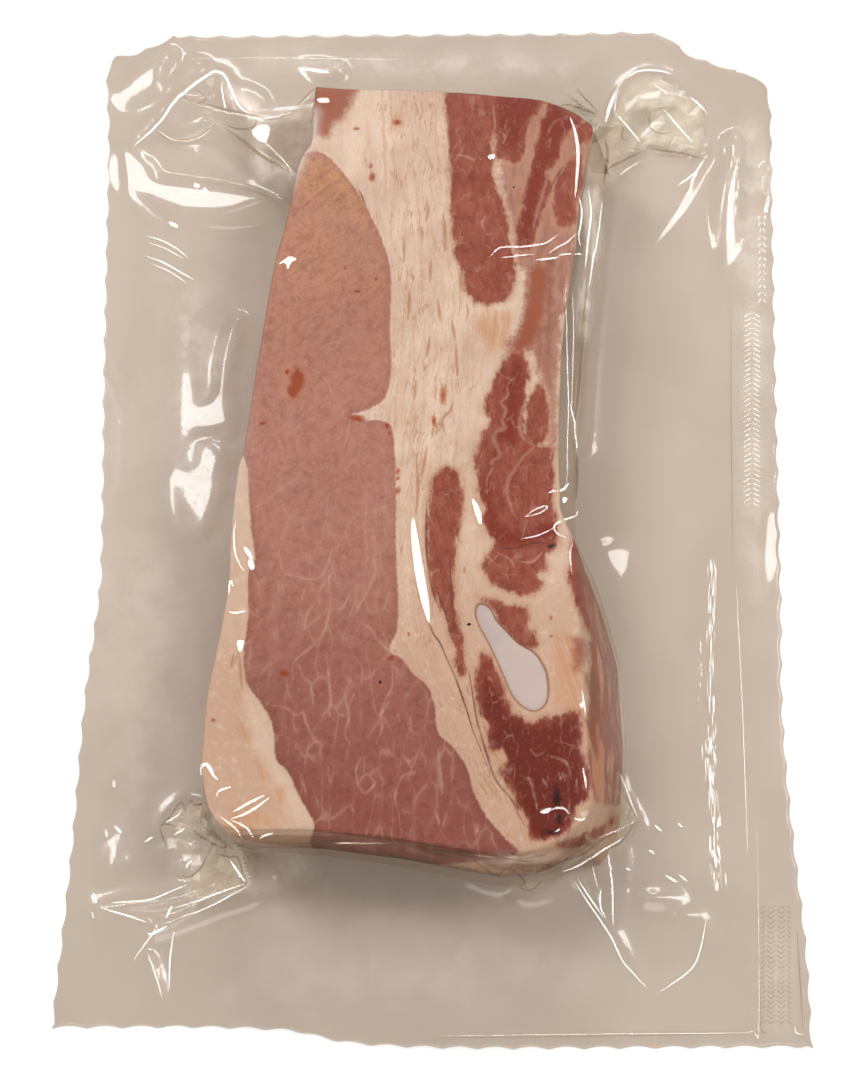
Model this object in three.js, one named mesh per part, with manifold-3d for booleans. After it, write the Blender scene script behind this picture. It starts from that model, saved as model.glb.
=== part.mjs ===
// Vacuum pack of cooked salt pork: a block of meat sealed between a flat lid film, on which the pack
// lies, and a formed film that the vacuum has drawn down over the block. Millimetres, +Z up.
// The origin is on the underside at the middle of the pack. +X runs across the pack and +Y along it,
// towards the far end with the two cut corners.

import * as THREE from "three";
import { mergeGeometries, mergeVertices } from "three/addons/utils/BufferGeometryUtils.js";
import Module from "manifold-3d";

const { lerp, smoothstep } = THREE.MathUtils;

// Flange: the two films sealed flat together, with a scalloped cut edge
const PACK_WIDTH = 226;
const PACK_LENGTH = 336;
const FLANGE_THICKNESS = 1;
const EDGE_WAIST = 5;
const NEAR_EDGE_STEP = 6;
const NEAR_STEP_START = 70;
const NEAR_STEP_END = 98;
const FAR_LEFT_CUT_WIDTH = 23;
const FAR_LEFT_CUT_LENGTH = 13;
const FAR_RIGHT_CUT_WIDTH = 38;
const FAR_RIGHT_CUT_LENGTH = 21;
const SCALLOP_PITCH = 10.5;
const SCALLOP_DEPTH = 0.9;
const SCALLOP_STEPS = 4;

// Block of pork: narrower at the far end, with a lobe at the right of the near end
const BLOCK_LENGTH = 236;
const BLOCK_HEIGHT = 40;
const BLOCK_CENTRE_Y = 6;
const BLOCK_LEFT = -56.5;
const LEFT_TAPER = 14.6;
const LEFT_BOW = 3.6;
const BLOCK_RIGHT = 37;
const RIGHT_TAPER = 11;
const LOBE_WIDTH = 6;
const LOBE_END = -0.2;
const LOBE_BLEND = 0.05;
const END_SKEW = 2.2;
const BLOCK_SQUARENESS = 11;
const TOP_CROWN = 1.6;
const CREASE_DEPTH = 3;
const CREASE_WIDTH = 7;

// Walls of the block under the film, and how far each foot stands out from the top edge
const SHOULDER_SQUARENESS = 3;
const FOOT_LEFT = 3;
const FOOT_RIGHT = 8;
const FOOT_LOBE = 6;
const FOOT_NEAR = 7;
const FOOT_FAR = 5;
const FOOT_LIFT = 5;
const FOOT_FADE = 4;

// Pocket of the formed film, its rolled rim, and the webs that run to its corners
const POCKET_WIDTH = 191;
const POCKET_LENGTH = 308;
const POCKET_CENTRE_X = -4.5;
const POCKET_SQUARENESS = 6;
const RIM_HEIGHT = 1.6;
const RIM_START = 0.83;
const RIM_CREST = 0.93;
const WEB_HEIGHT = 32;
const WEB_WIDTH = 8;
const WEB_FALL = 1.7;

// Rings of the formed film, from the middle of the block out to the pocket's rim
const TOP_RINGS = 8;
const WALL_RINGS = 7;
const SKIRT_RINGS = 11;
const RINGS = TOP_RINGS + WALL_RINGS + SKIRT_RINGS;
const SKIRT_CROWDING = 1.5;

const PORK_COLOUR = 0xc49a86;

const wasm = await Module();
wasm.setup();

// Draws the rim of the square from -1 to 1 in at its corners
function roundedSquare(p, q, squareness) {
  const shrink = (Math.abs(p) ** squareness + Math.abs(q) ** squareness) ** (-1 / squareness);
  return [p * shrink, q * shrink];
}

// 1 along the lobe at the right of the near end, and 0 past its crease
function lobe(along) {
  return 1 - smoothstep(along, LOBE_END - LOBE_BLEND, LOBE_END + LOBE_BLEND);
}

// Plan of the block's top: across and along run from -1 to 1 between its sides and between its ends
function blockPlan(across, along) {
  const left = BLOCK_LEFT + LEFT_TAPER * along + LEFT_BOW * along ** 2;
  const right = BLOCK_RIGHT + RIGHT_TAPER * Math.max(along, 0) + LOBE_WIDTH * lobe(along);
  const x = lerp(left, right, (across + 1) / 2);
  const y = BLOCK_CENTRE_Y + (along * BLOCK_LENGTH) / 2 - END_SKEW * across;
  return new THREE.Vector2(x, y);
}

function blockTopHeight(across, along) {
  const crown = (TOP_CROWN * (across ** 4 + along ** 4)) / 2;
  const fromCrease = ((along - LOBE_END) * BLOCK_LENGTH) / 2 / CREASE_WIDTH;
  const crease = CREASE_DEPTH * Math.exp(-(fromCrease ** 2)) * smoothstep(across, 0, 1);
  return BLOCK_HEIGHT - crown - crease;
}

// Foot of the block's wall, below the top edge that faces the same way
function footPlan(across, along) {
  const sideways = across > 0 ? FOOT_RIGHT + FOOT_LOBE * lobe(along) : FOOT_LEFT;
  const endways = along > 0 ? FOOT_FAR : FOOT_NEAR;
  return blockPlan(across, along).add(new THREE.Vector2(across * sideways, along * endways));
}

function pocketPlan(p, q) {
  const [across, along] = roundedSquare(p, q, POCKET_SQUARENESS);
  return new THREE.Vector2(POCKET_CENTRE_X + (across * POCKET_WIDTH) / 2, (along * POCKET_LENGTH) / 2);
}

// Lines from the block's top corners to the pocket's corners, which the webs follow
const webLines = [];
for (const p of [-1, 1]) {
  for (const q of [-1, 1]) {
    const start = blockPlan(...roundedSquare(p, q, BLOCK_SQUARENESS));
    const run = pocketPlan(p, q).sub(start);
    webLines.push({ start, run });
  }
}

// Height of the nearest web over the flange: highest at the block, with hollow sides
function webHeight(point) {
  let height = 0;
  for (const { start, run } of webLines) {
    const offset = point.clone().sub(start);
    const share = THREE.MathUtils.clamp(offset.dot(run) / run.lengthSq(), 0, 1);
    const aside = offset.distanceTo(run.clone().multiplyScalar(share));
    height = Math.max(height, WEB_HEIGHT * (1 - share) ** WEB_FALL * Math.exp(-aside / WEB_WIDTH));
  }
  return height;
}

// A point of the formed film: p and q run over a square whose rings are the film's rings
function filmPoint(p, q) {
  const ring = Math.max(Math.abs(p), Math.abs(q)) * RINGS;
  const facing = ring > 0 ? [(p * RINGS) / ring, (q * RINGS) / ring] : [1, 0];
  const [across, along] = roundedSquare(...facing, BLOCK_SQUARENESS);

  if (ring < TOP_RINGS) {
    const share = ring / TOP_RINGS;
    const plan = blockPlan(across * share, along * share);
    return [plan.x, plan.y, blockTopHeight(across * share, along * share)];
  }

  const foot = footPlan(across, along);
  let plan = foot;
  let height = FOOT_LIFT;
  if (ring < TOP_RINGS + WALL_RINGS) {
    const turn = ((ring - TOP_RINGS) / WALL_RINGS) * (Math.PI / 2);
    const out = Math.sin(turn) ** (2 / SHOULDER_SQUARENESS);
    const up = Math.cos(turn) ** (2 / SHOULDER_SQUARENESS);
    plan = blockPlan(across, along).lerp(foot, out);
    height = lerp(FOOT_LIFT, blockTopHeight(across, along), up);
  } else {
    const share = (ring - TOP_RINGS - WALL_RINGS) / SKIRT_RINGS;
    plan = foot.clone().lerp(pocketPlan(...facing), share ** SKIRT_CROWDING);
    const fillet = (FOOT_LIFT - FLANGE_THICKNESS) * Math.exp(-plan.distanceTo(foot) / FOOT_FADE);
    const rim = RIM_HEIGHT * smoothstep(share, RIM_START, RIM_CREST);
    height = FLANGE_THICKNESS + Math.max(fillet, rim);
  }
  const isBorder = ring > RINGS - 0.5;
  if (isBorder) {
    return [plan.x, plan.y, FLANGE_THICKNESS / 2];
  }
  return [plan.x, plan.y, Math.max(height, FLANGE_THICKNESS + webHeight(plan))];
}

// Splits the cells of two opposite quarters the other way, so that every split points to the middle
function turnSplits(sheet, steps) {
  const index = sheet.index.array;
  for (let cell = 0; cell < steps * steps; cell += 1) {
    const isLeft = cell % steps < steps / 2;
    const isFar = cell < (steps * steps) / 2;
    if (isLeft === isFar) {
      const [a, b, d, , c] = index.slice(6 * cell);
      index.set([a, b, c, a, c, d], 6 * cell);
    }
  }
}

// The formed film as one sheet, closed underneath by a flat face
function makeBulge() {
  const steps = 2 * RINGS;
  const sheet = new THREE.PlaneGeometry(2, 2, steps, steps);
  turnSplits(sheet, steps);
  const position = sheet.getAttribute("position");
  for (let i = 0; i < position.count; i += 1) {
    position.setXYZ(i, ...filmPoint(position.getX(i), position.getY(i)));
  }

  const border = [];
  for (const [p0, q0, p1, q1] of [[-1, -1, 1, -1], [1, -1, 1, 1], [1, 1, -1, 1], [-1, 1, -1, -1]]) {
    for (let i = 0; i < steps; i += 1) {
      const [x, y] = filmPoint(lerp(p0, p1, i / steps), lerp(q0, q1, i / steps));
      border.push(new THREE.Vector2(x, y));
    }
  }
  const floor = new THREE.ShapeGeometry(new THREE.Shape(border));
  floor.index.array.reverse();
  floor.translate(0, 0, FLANGE_THICKNESS / 2);

  for (const geometry of [sheet, floor]) {
    geometry.deleteAttribute("normal");
    geometry.deleteAttribute("uv");
  }
  return mergeGeometries([sheet, floor]);
}

// One edge of the flange as a row of scallops, pulled in by a waist at its middle
function scallopedEdge(from, to, waist) {
  const run = to.clone().sub(from);
  const inward = new THREE.Vector2(-run.y, run.x).normalize();
  const steps = Math.max(1, Math.round(run.length() / SCALLOP_PITCH)) * SCALLOP_STEPS;
  const points = [];
  for (let i = 0; i < steps; i += 1) {
    const share = i / steps;
    const scallop = SCALLOP_DEPTH * Math.abs(Math.sin((Math.PI * i) / SCALLOP_STEPS));
    const pull = waist * Math.sin(Math.PI * share) + scallop;
    points.push(from.clone().addScaledVector(run, share).addScaledVector(inward, pull));
  }
  return points;
}

function makeFlange() {
  const right = PACK_WIDTH / 2;
  const far = PACK_LENGTH / 2;
  const nearLeft = NEAR_EDGE_STEP - far;
  const corners = [
    [-right, nearLeft],
    [NEAR_STEP_START - right, nearLeft],
    [NEAR_STEP_END - right, -far],
    [right, -far],
    [right, far - FAR_RIGHT_CUT_LENGTH],
    [right - FAR_RIGHT_CUT_WIDTH, far],
    [FAR_LEFT_CUT_WIDTH - right, far],
    [-right, far - FAR_LEFT_CUT_LENGTH],
  ].map(([x, y]) => new THREE.Vector2(x, y));

  const outline = corners.flatMap((corner, i) => {
    const next = corners[(i + 1) % corners.length];
    const isSide = corner.x === next.x;
    return scallopedEdge(corner, next, isSide ? EDGE_WAIST : 0);
  });
  return new THREE.ExtrudeGeometry(new THREE.Shape(outline), {
    depth: FLANGE_THICKNESS,
    bevelEnabled: false,
  });
}

function toSolid(geometry) {
  const bare = geometry.clone();
  for (const name of ["normal", "uv"]) {
    bare.deleteAttribute(name);
  }
  const welded = mergeVertices(bare);
  const vertProperties = new Float32Array(welded.getAttribute("position").array);
  const triVerts = new Uint32Array(welded.index.array);
  return new wasm.Manifold(new wasm.Mesh({ numProp: 3, vertProperties, triVerts }));
}

function toGeometry(solid) {
  const mesh = solid.getMesh();
  const geometry = new THREE.BufferGeometry();
  geometry.setAttribute("position", new THREE.BufferAttribute(mesh.vertProperties, 3));
  geometry.setIndex(new THREE.BufferAttribute(mesh.triVerts, 1));
  geometry.computeVertexNormals();
  return geometry;
}

function makePack() {
  const geometry = toGeometry(toSolid(makeFlange()).add(toSolid(makeBulge())));
  const material = new THREE.MeshStandardMaterial({ color: PORK_COLOUR, roughness: 0.25, metalness: 0 });
  const pack = new THREE.Mesh(geometry, material);
  pack.name = "pack";
  return pack;
}

const saltPorkPack = new THREE.Group();
saltPorkPack.add(makePack());

export default saltPorkPack;
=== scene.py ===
"""A vacuum pack of cooked salt pork: clear formed film drawn over a block of pork, on a flat lid film.

Sizes are in millimetres in the pack's own frame until a mesh is made. Places read off the photograph are
pixels of its 859 by 1080 frame, set on the pack by the same camera that takes the picture.
"""

import math

import bpy
import numpy as np
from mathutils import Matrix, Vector, noise
from mathutils.bvhtree import BVHTree


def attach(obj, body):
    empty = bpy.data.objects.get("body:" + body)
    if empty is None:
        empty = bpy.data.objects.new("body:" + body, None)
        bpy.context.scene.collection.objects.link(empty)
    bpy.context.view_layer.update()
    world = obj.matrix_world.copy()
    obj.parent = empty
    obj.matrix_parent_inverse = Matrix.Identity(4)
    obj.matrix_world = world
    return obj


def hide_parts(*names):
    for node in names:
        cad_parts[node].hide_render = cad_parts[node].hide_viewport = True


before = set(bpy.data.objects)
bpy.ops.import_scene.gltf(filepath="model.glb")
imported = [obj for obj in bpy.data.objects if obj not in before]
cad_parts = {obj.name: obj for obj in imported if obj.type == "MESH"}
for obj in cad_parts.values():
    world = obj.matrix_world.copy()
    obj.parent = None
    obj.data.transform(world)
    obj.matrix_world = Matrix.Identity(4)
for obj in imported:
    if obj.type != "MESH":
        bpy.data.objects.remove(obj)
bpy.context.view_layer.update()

MM = 0.001
FAR_AWAY = 1e9
TINY = 1e-9

# Photograph and camera
PHOTO_WIDTH = 859
PHOTO_HEIGHT = 1080
FOCAL_PIXELS = 2000
SENSOR_MM = 36
CAMERA_TILT = math.radians(16.1)
SINE = math.sin(CAMERA_TILT)
COSINE = math.cos(CAMERA_TILT)
CAMERA_DISTANCE = 632.2
LOOK_AT = (-1.5, -11.8)
CAMERA_PLACE = np.array([LOOK_AT[0], LOOK_AT[1] - CAMERA_DISTANCE * SINE, CAMERA_DISTANCE * COSINE])

# Lamps: place and size in metres, and radiance
LAMPS = {
    "left": ((-0.68, 0.5, 1.1), (0.26, 0.5), 18),
    "right": ((0.74, 0.22, 1.1), (0.26, 0.5), 17),
    "far": ((0.1, 1.5, 1.2), (0.8, 0.25), 18),
    "near": ((0.0, -1.2, 1.0), (1.2, 0.6), 3.6),
    "panel": ((0.0, 0.8, 1.15), (1.3, 0.45), 0.2),
}
MIRRORED_LAMPS = ("left", "right", "far")
WORLD_LIGHT = 0.24
WORLD_COLOUR = (1, 0.99, 0.97, 1)
FLOOR_COLOUR = (0.92, 0.92, 0.92)
FLOOR_ROUGHNESS = 0.9
FLOOR_REACH = 4

# Steps of a smooth curve between two of its points
PATH_STEPS = 8
BONE_STEPS = 6
TOP_STEPS = 5
PATCH_STEPS = 4
GLINT_STEPS = 3

# Block of pork
BLOCK_HEIGHT = 40
EDGE_HEIGHT = 38.5
MARK_HEIGHT = 39.5
TOP_CROWN = 0.8
BLOCK_BOTTOM = 0.6
PORK_COLUMNS = 140
PORK_ROWS = 290
PORK_WALL_RINGS = 14
CREASE_DEPTH = 1.2
CREASE_WIDTH = 5
SEAM_GROOVE = 0.3
WALL_WOBBLE_SPREAD = 5
WALL_WOBBLE_LEAST = 0.2

# Grooves round the lean: the mark, the depth as a share, and the width
GROOVES = [("pink", 1, 1.3), ("red", 0.7, 1.1)]

# Bone: its recess in the meat, and the share of the outline and the lift of each ring
BONE_RECESS = 1.4
BONE_RECESS_RIM = (-0.2, 0.8)
BONE_LEVEL = 39.8
BONE_CROWN = 0.1
BONE_RINGS = [(0.3, 0.1), (0.6, 0.08), (0.8, 0.02), (0.92, -0.1), (0.98, -0.3), (1.0, -0.7), (1.0, -2.5)]

# Gentle hills in each surface: height, size and seed
TOP_HILLS = [(0.35, 14, 1)]
PORK_HILLS = [(0.12, 4, 2)]
WALL_HILLS = [(0.7, 18, 3), (0.3, 6, 4)]
FLANGE_HILLS = [(0.2, 26, 5), (0.05, 8, 6)]
HILL_SHIFT = (17.3, 5.1, 9.7)

# Marks: how far an outline reaches, the values off every spot and line, and a line's reach, taper and fade
MARK_REACH = 8
OUTSIDE_SPOTS = -9.0
OFF_LINE = 9.0
LINE_REACH = 6
LINE_END = 0.4
LINE_SHARES = (0.02, 0.98)
LINE_FADE = 1.2

# Normals of a loop: how many points they span, and how often they are evened out
NORMAL_SPAN = 3
NORMAL_PASSES = 6

# Film, its pocket and its flange
FILM_COLUMNS = 130
FILM_ROWS = 260
FILM_WALL_RINGS = 16
SKIRT_RINGS = 36
SKIRT_SPACING = 1.2
FLANGE_RINGS = 16
FILM_GAP = 0.35
GAP_OPENING = 4
FOLD_OPENING = 2
FOLD_ROUNDING = 0.1
FOOT_LIFT = 0.85
FOOT_FADE = 2
FLANGE_HEIGHT = 0.8
FLANGE_FADE = 8
EDGE_DROP = 0.2
EDGE_FADE = 0.5
LID_HEIGHT = 0.15
LID_CLEARANCE = 0.2
POCKET_WIDTH = 191
POCKET_LENGTH = 308
POCKET_CENTRE_X = -4.5
POCKET_SQUARENESS = 6
SCALLOP_PITCH = 10.5
SCALLOP_DEPTH = 0.9
FACET_MARGIN = 5
FACET_RIM = 1.5

# Bunched film: grid step, stray and fade in pixels, lift, and seed
BUNCH_STEP = 8
BUNCH_STRAY = 2.5
BUNCH_FADE = 8
BUNCH_LIFT = 0.3
BUNCH_SEED = 11

# Wrinkles, streaks, knurls and glints
WRINKLE_STEP = 2.5
WRINKLE_FEWEST = 4
WRINKLE_THICKNESS = 0.06
SHADE_START = 2
STREAK_STEPS = 40
STREAK_ROOM = 8
STREAK_LENGTHS = (2, 5)
STREAK_WIDTHS = (0.1, 0.38)
STREAK_SEED = 4
KNURL_WIDTH = 0.25
DULL_KNURL_WIDTH = 0.23
KNURL_RISE = 4
KNURL_GAP = 1
GLINT_LIFT = 0.15
GLINT_THICKNESS = 0.1

# Flange outline, anticlockwise from the near left corner; each edge ends where the next begins
FLANGE_NEAR = [
    (-113, -162), (-90, -162), (-69, -162), (-43, -163), (-31, -165.5), (-16, -167.2), (19, -168),
    (111.5, -167.6),
]
FLANGE_RIGHT = [
    (111.5, -167.6), (111.3, -139), (108.5, -94), (107.8, -63), (109, -32), (110.6, 35), (112.6, 106),
    (113, 146), (102, 154),
]
FLANGE_FAR = [(102, 154), (87, 160), (75.4, 168), (40, 168), (-40, 167.4), (-88.7, 167)]
FLANGE_LEFT = [
    (-88.7, 167), (-100, 161), (-110.5, 155.6), (-109.4, 124), (-107.6, 52), (-105.5, -15), (-105.8, -32),
    (-108.5, -63), (-110.3, -110), (-113, -154), (-113, -162),
]

# Edges of the block's top, as pixels
FAR_EDGE = [(316, 88), (355, 91), (446, 94), (496, 98), (539, 102), (571, 113), (591, 126)]
NEAR_EDGE = [
    (215, 818), (234, 828), (315, 829), (351, 833), (404, 839), (470, 846), (508, 849), (545, 844),
    (582, 822),
]
LEFT_EDGE = [
    (215, 818), (207, 803), (202, 768), (204, 732), (208, 691), (215, 660), (223, 620), (229, 585),
    (231, 540), (238, 475), (245, 447), (254, 388), (262, 340), (275, 266), (284, 234), (298, 173),
    (305, 155), (313, 140), (316, 88),
]
RIGHT_EDGE = [
    (582, 822), (590, 803), (589, 780), (586, 740), (582, 680), (578, 610), (574, 560), (566, 536),
    (558, 515), (556, 490), (556, 450), (557, 400), (560, 340), (566, 290), (573, 245), (577, 205),
    (584, 160), (591, 126),
]

# How far each wall's foot stands out from the top edge, and how square its shoulder is, by share along it
PORK_FOOT = {
    "near": ((0, 0.5), (0.5, 1), (0.75, 3), (1, 4)),
    "right": (
        (0, 11), (0.12, 14.4), (0.24, 14.4), (0.31, 11), (0.37, 6.5), (0.43, 2), (0.5, 1.2), (1, 1.2),
    ),
    "far": ((0, 1),),
    "left": ((0, 0.3),),
}
PORK_SHOULDER = {
    "near": ((0, 4.5), (0.7, 4.5), (1, 1.7)),
    "right": ((0, 1.15), (0.36, 1.15), (0.45, 4), (1, 4.5)),
    "far": ((0, 1.5),),
    "left": ((0, 1.5),),
}
FILM_FOOT = {
    "near": ((0, 2), (0.5, 3), (0.75, 6), (1, 8)),
    "right": ((0, 12), (0.12, 15.2), (0.24, 15.2), (0.31, 12), (0.37, 8.5), (0.45, 8), (1, 9)),
    "far": ((0, 2.5),),
    "left": ((0, 1.5),),
}
FILM_SHOULDER = {
    "near": ((0, 4), (0.7, 4), (1, 1.8)),
    "right": ((0, 1.15), (0.36, 1.15), (0.45, 1.1), (1, 1.1)),
    "far": ((0, 1.2),),
    "left": ((0, 1.2),),
}

# Muscles, patches of fat, stains and the bone in the cut top and the sides, as pixels
PINK_LEAN = [
    (296, 160), (305, 153), (316, 151), (330, 158), (352, 184), (370, 214), (384, 246), (391, 276),
    (390, 330), (391, 370), (386, 396), (372, 408), (352, 416), (366, 420), (386, 422), (393, 434),
    (396, 480), (396, 545), (398, 600), (397, 630), (389, 650), (402, 659), (414, 675), (428, 687),
    (435, 709), (438, 732), (452, 746), (466, 766), (474, 792), (486, 816), (503, 836), (512, 856),
    (400, 866), (316, 852), (314, 824), (300, 798), (289, 774), (276, 759), (274, 735), (269, 716),
    (259, 701), (246, 681), (244, 652), (248, 616), (248, 574), (255, 560), (252, 537), (249, 500),
    (247, 468), (240, 452), (228, 446), (240, 380), (252, 310), (272, 230),
]
DARK_LEANS = {
    "far left": [
        (448, 84), (449, 146), (451, 196), (453, 238), (460, 271), (468, 294), (483, 305), (500, 302),
        (511, 294), (516, 275), (513, 256), (508, 221), (504, 206), (499, 193), (492, 176), (494, 164),
        (492, 146), (496, 121), (496, 84),
    ],
    "far middle": [
        (496, 84), (496, 150), (503, 160), (513, 162), (521, 160), (526, 146), (529, 121), (540, 110),
        (552, 84),
    ],
    "far strip": [
        (556, 88), (548, 105), (540, 125), (535, 148), (529, 172), (524, 196), (519, 221), (517, 240),
        (522, 251), (532, 245), (538, 226), (546, 204), (552, 184), (546, 172), (556, 165), (562, 146),
        (568, 133), (578, 124), (592, 100),
    ],
    "far right": [(578, 126), (594, 122), (591, 138), (580, 142)],
    "far right low": [
        (573, 158), (582, 156), (580, 190), (575, 205), (578, 215), (572, 226), (563, 228), (556, 222),
        (552, 205), (555, 185), (563, 170),
    ],
    "middle": [
        (519, 352), (506, 358), (498, 371), (490, 388), (485, 411), (490, 420), (483, 430), (480, 440),
        (476, 459), (478, 481), (480, 499), (487, 508), (481, 519), (486, 529), (494, 542), (486, 556),
        (483, 570), (491, 582), (506, 592), (526, 596), (542, 586), (536, 575), (546, 569), (547, 556),
        (558, 545), (556, 516), (553, 486), (554, 466), (552, 448), (540, 446), (527, 440), (524, 420),
        (527, 392), (530, 366),
    ],
    "middle right": [
        (538, 384), (546, 392), (550, 410), (549, 430), (546, 440), (536, 444), (527, 436), (526, 418),
        (528, 402), (533, 390),
    ],
    "spindle": [
        (450, 467), (433, 479), (429, 498), (427, 522), (428, 556), (433, 589), (440, 606), (448, 626),
        (454, 650), (458, 672), (464, 672), (463, 640), (455, 610), (454, 580), (456, 547), (461, 522),
        (463, 498), (460, 479),
    ],
    "over bone": [
        (481, 598), (498, 600), (512, 606), (526, 607), (528, 617), (530, 627), (536, 639), (539, 645),
        (532, 650), (522, 646), (510, 635), (502, 625), (495, 612), (487, 604),
    ],
    "near": [
        (481, 653), (489, 657), (496, 668), (502, 680), (508, 702), (516, 715), (534, 721), (559, 715),
        (580, 712), (582, 733), (583, 754), (588, 772), (590, 796), (578, 806), (568, 832), (534, 840),
        (528, 825), (518, 804), (506, 784), (500, 772), (508, 761), (501, 751), (489, 751), (487, 735),
        (489, 723), (479, 712), (475, 690), (477, 670),
    ],
    "near end": [(560, 842), (585, 834), (604, 824), (614, 818), (606, 832), (584, 846), (562, 850)],
    "side": [
        (567, 577), (571, 590), (578, 610), (588, 632), (592, 612), (595, 588), (591, 562), (580, 540),
        (572, 540), (571, 560),
    ],
    "side stripe": [(612, 728), (618, 724), (623, 755), (623, 780), (615, 772), (612, 750)],
}
DEEP_LEANS = {
    "far strip": [
        (545, 104), (539, 125), (536, 145), (530, 165), (525, 185), (521, 205), (518, 228), (519, 248),
        (528, 246), (534, 230), (539, 205), (546, 180), (552, 165), (560, 146), (570, 132), (574, 122),
        (562, 108),
    ],
    "far middle": [(500, 90), (499, 130), (506, 150), (518, 150), (526, 125), (538, 104), (536, 90)],
    "core": [
        (512, 362), (524, 370), (524, 395), (520, 430), (514, 446), (504, 440), (499, 448), (490, 470),
        (494, 500), (505, 530), (530, 530), (552, 520), (556, 538), (500, 546), (488, 530), (484, 490),
        (496, 440), (504, 400),
    ],
    "near": [
        (484, 664), (498, 690), (512, 716), (540, 724), (578, 716), (582, 760), (586, 795), (566, 828),
        (536, 836), (518, 800), (504, 772), (508, 760), (490, 745), (490, 722), (480, 705),
    ],
}
MIXED_PATCHES = {
    "far": [
        (498, 95), (594, 105), (588, 160), (580, 215), (574, 250), (545, 264), (520, 270), (513, 240),
        (506, 205), (498, 165),
    ],
    "right": [
        (528, 262), (576, 246), (567, 300), (561, 345), (558, 400), (557, 450), (548, 450), (545, 400),
        (532, 360), (515, 352), (508, 345), (522, 320), (527, 290),
    ],
}
PALE_PATCHES = {
    "left": [
        (243, 690), (258, 702), (270, 718), (276, 740), (280, 760), (292, 780), (302, 800), (312, 822),
        (296, 826), (282, 800), (264, 775), (256, 745), (246, 715),
    ],
    "under the far lean": [
        (456, 268), (468, 296), (484, 308), (502, 305), (514, 296), (520, 274), (528, 276), (520, 304),
        (500, 316), (478, 318), (460, 300),
    ],
    "far": [(366, 110), (388, 104), (392, 150), (384, 190), (372, 150)],
}
SIDE_FLANK = [
    (571, 545), (600, 560), (612, 600), (622, 640), (626, 700), (630, 750), (626, 800), (596, 802),
    (590, 780), (586, 740), (588, 700), (590, 660), (588, 625), (578, 600),
]
ORANGE_PATCHES = {
    "strip": [
        (531, 268), (548, 268), (546, 300), (541, 325), (532, 345), (516, 356), (507, 356), (517, 340),
        (524, 310), (527, 285),
    ],
    "far corner": [
        (308, 80), (358, 82), (350, 104), (341, 120), (334, 124), (331, 134), (322, 136), (310, 126),
    ],
    "side patch": [(573, 639), (583, 641), (587, 655), (581, 668), (572, 670), (574, 653)],
}
STAINS = {
    "by the bone": [(475, 314), (511, 312), (510, 336), (496, 352), (482, 338)],
    "left": [(256, 760), (268, 764), (274, 778), (266, 786), (258, 776)],
    "left low": [(272, 790), (284, 788), (284, 800), (274, 802)],
    "left corner": [(222, 826), (238, 812), (256, 808), (270, 824), (250, 834), (232, 838)],
    "left high": [(234, 690), (242, 690), (241, 702), (235, 702)],
    "left middle": [(238, 726), (248, 728), (250, 738), (242, 736)],
    "rust halo": [(282, 366), (300, 364), (308, 378), (300, 402), (282, 400), (278, 384)],
    "far": [(388, 116), (402, 114), (403, 128), (390, 130)],
    "right of the bone": [(556, 636), (574, 640), (584, 690), (580, 712), (562, 712), (553, 690)],
}
# Brown strips: real on the flank; the near-wall strip is painted shade, and the strip by the right wall is a
# painted reflection of the film's vertical bands
BROWN_STRIPS_SHADE_AND_REFLECTION = {
    "side high": [(597, 588), (604, 580), (610, 606), (614, 640), (608, 650), (602, 630), (598, 612)],
    "side middle": [(603, 650), (615, 645), (617, 690), (610, 690), (604, 672)],
    "side low": [(588, 672), (598, 680), (601, 700), (594, 704), (587, 690)],
    # The strip by the right wall is a painted reflection of the film's vertical bands
    "painted reflection by the right wall": [(546, 262), (554, 262), (552, 300), (551, 350), (546, 350), (547, 300)],
    "painted shade on the near wall": [(484, 858), (520, 862), (558, 860), (558, 869), (520, 872), (488, 867)],
}
BONE = [
    (476, 611), (478, 605), (483, 604), (490, 609), (495, 619), (506, 631), (518, 643), (534, 653),
    (542, 664), (547, 676), (548, 694), (544, 706), (534, 711), (522, 706), (512, 694), (505, 678),
    (498, 662), (489, 643), (481, 629), (477, 619),
]

# Dark seams between muscles, a dark line down the crease in the right of the top, cracks in the fat and pale
# veins in the lean, as pixels
DARK_SEAMS = [
    [
        (420, 570), (424, 606), (432, 631), (440, 643), (450, 666), (457, 682), (467, 711), (473, 731),
        (483, 755), (491, 776),
    ],
    [(437, 590), (445, 612), (453, 642)], [(450, 560), (452, 600), (454, 637)],
    [(350, 418), (356, 415), (363, 420)], [(357, 186), (362, 196), (366, 206)],
    # The first line in the next row follows the crease in the right of the top
    [(498, 547), (513, 548), (536, 542), (556, 543)], [(549, 196), (554, 180), (564, 165)],
]
LONG_SEAMS = [
    [
        (469, 672), (473, 696), (476, 715), (481, 735), (487, 755), (496, 780), (512, 800), (522, 821),
        (528, 827),
    ],
    [(427, 500), (426, 530), (427, 556), (432, 589), (439, 608)],
]
SEPTA = [
    [
        (513, 378), (507, 386), (508, 395), (501, 402), (506, 410), (502, 420), (505, 428), (496, 432),
        (494, 440), (500, 455), (492, 461), (492, 470), (487, 478), (487, 494),
    ],
    [(524, 388), (527, 394), (522, 410), (520, 428), (525, 440), (536, 446)],
    [(535, 446), (524, 456), (516, 468), (509, 478), (507, 492), (511, 506), (514, 515)],
    [(549, 172), (543, 192), (537, 212), (533, 230)],
]
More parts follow.
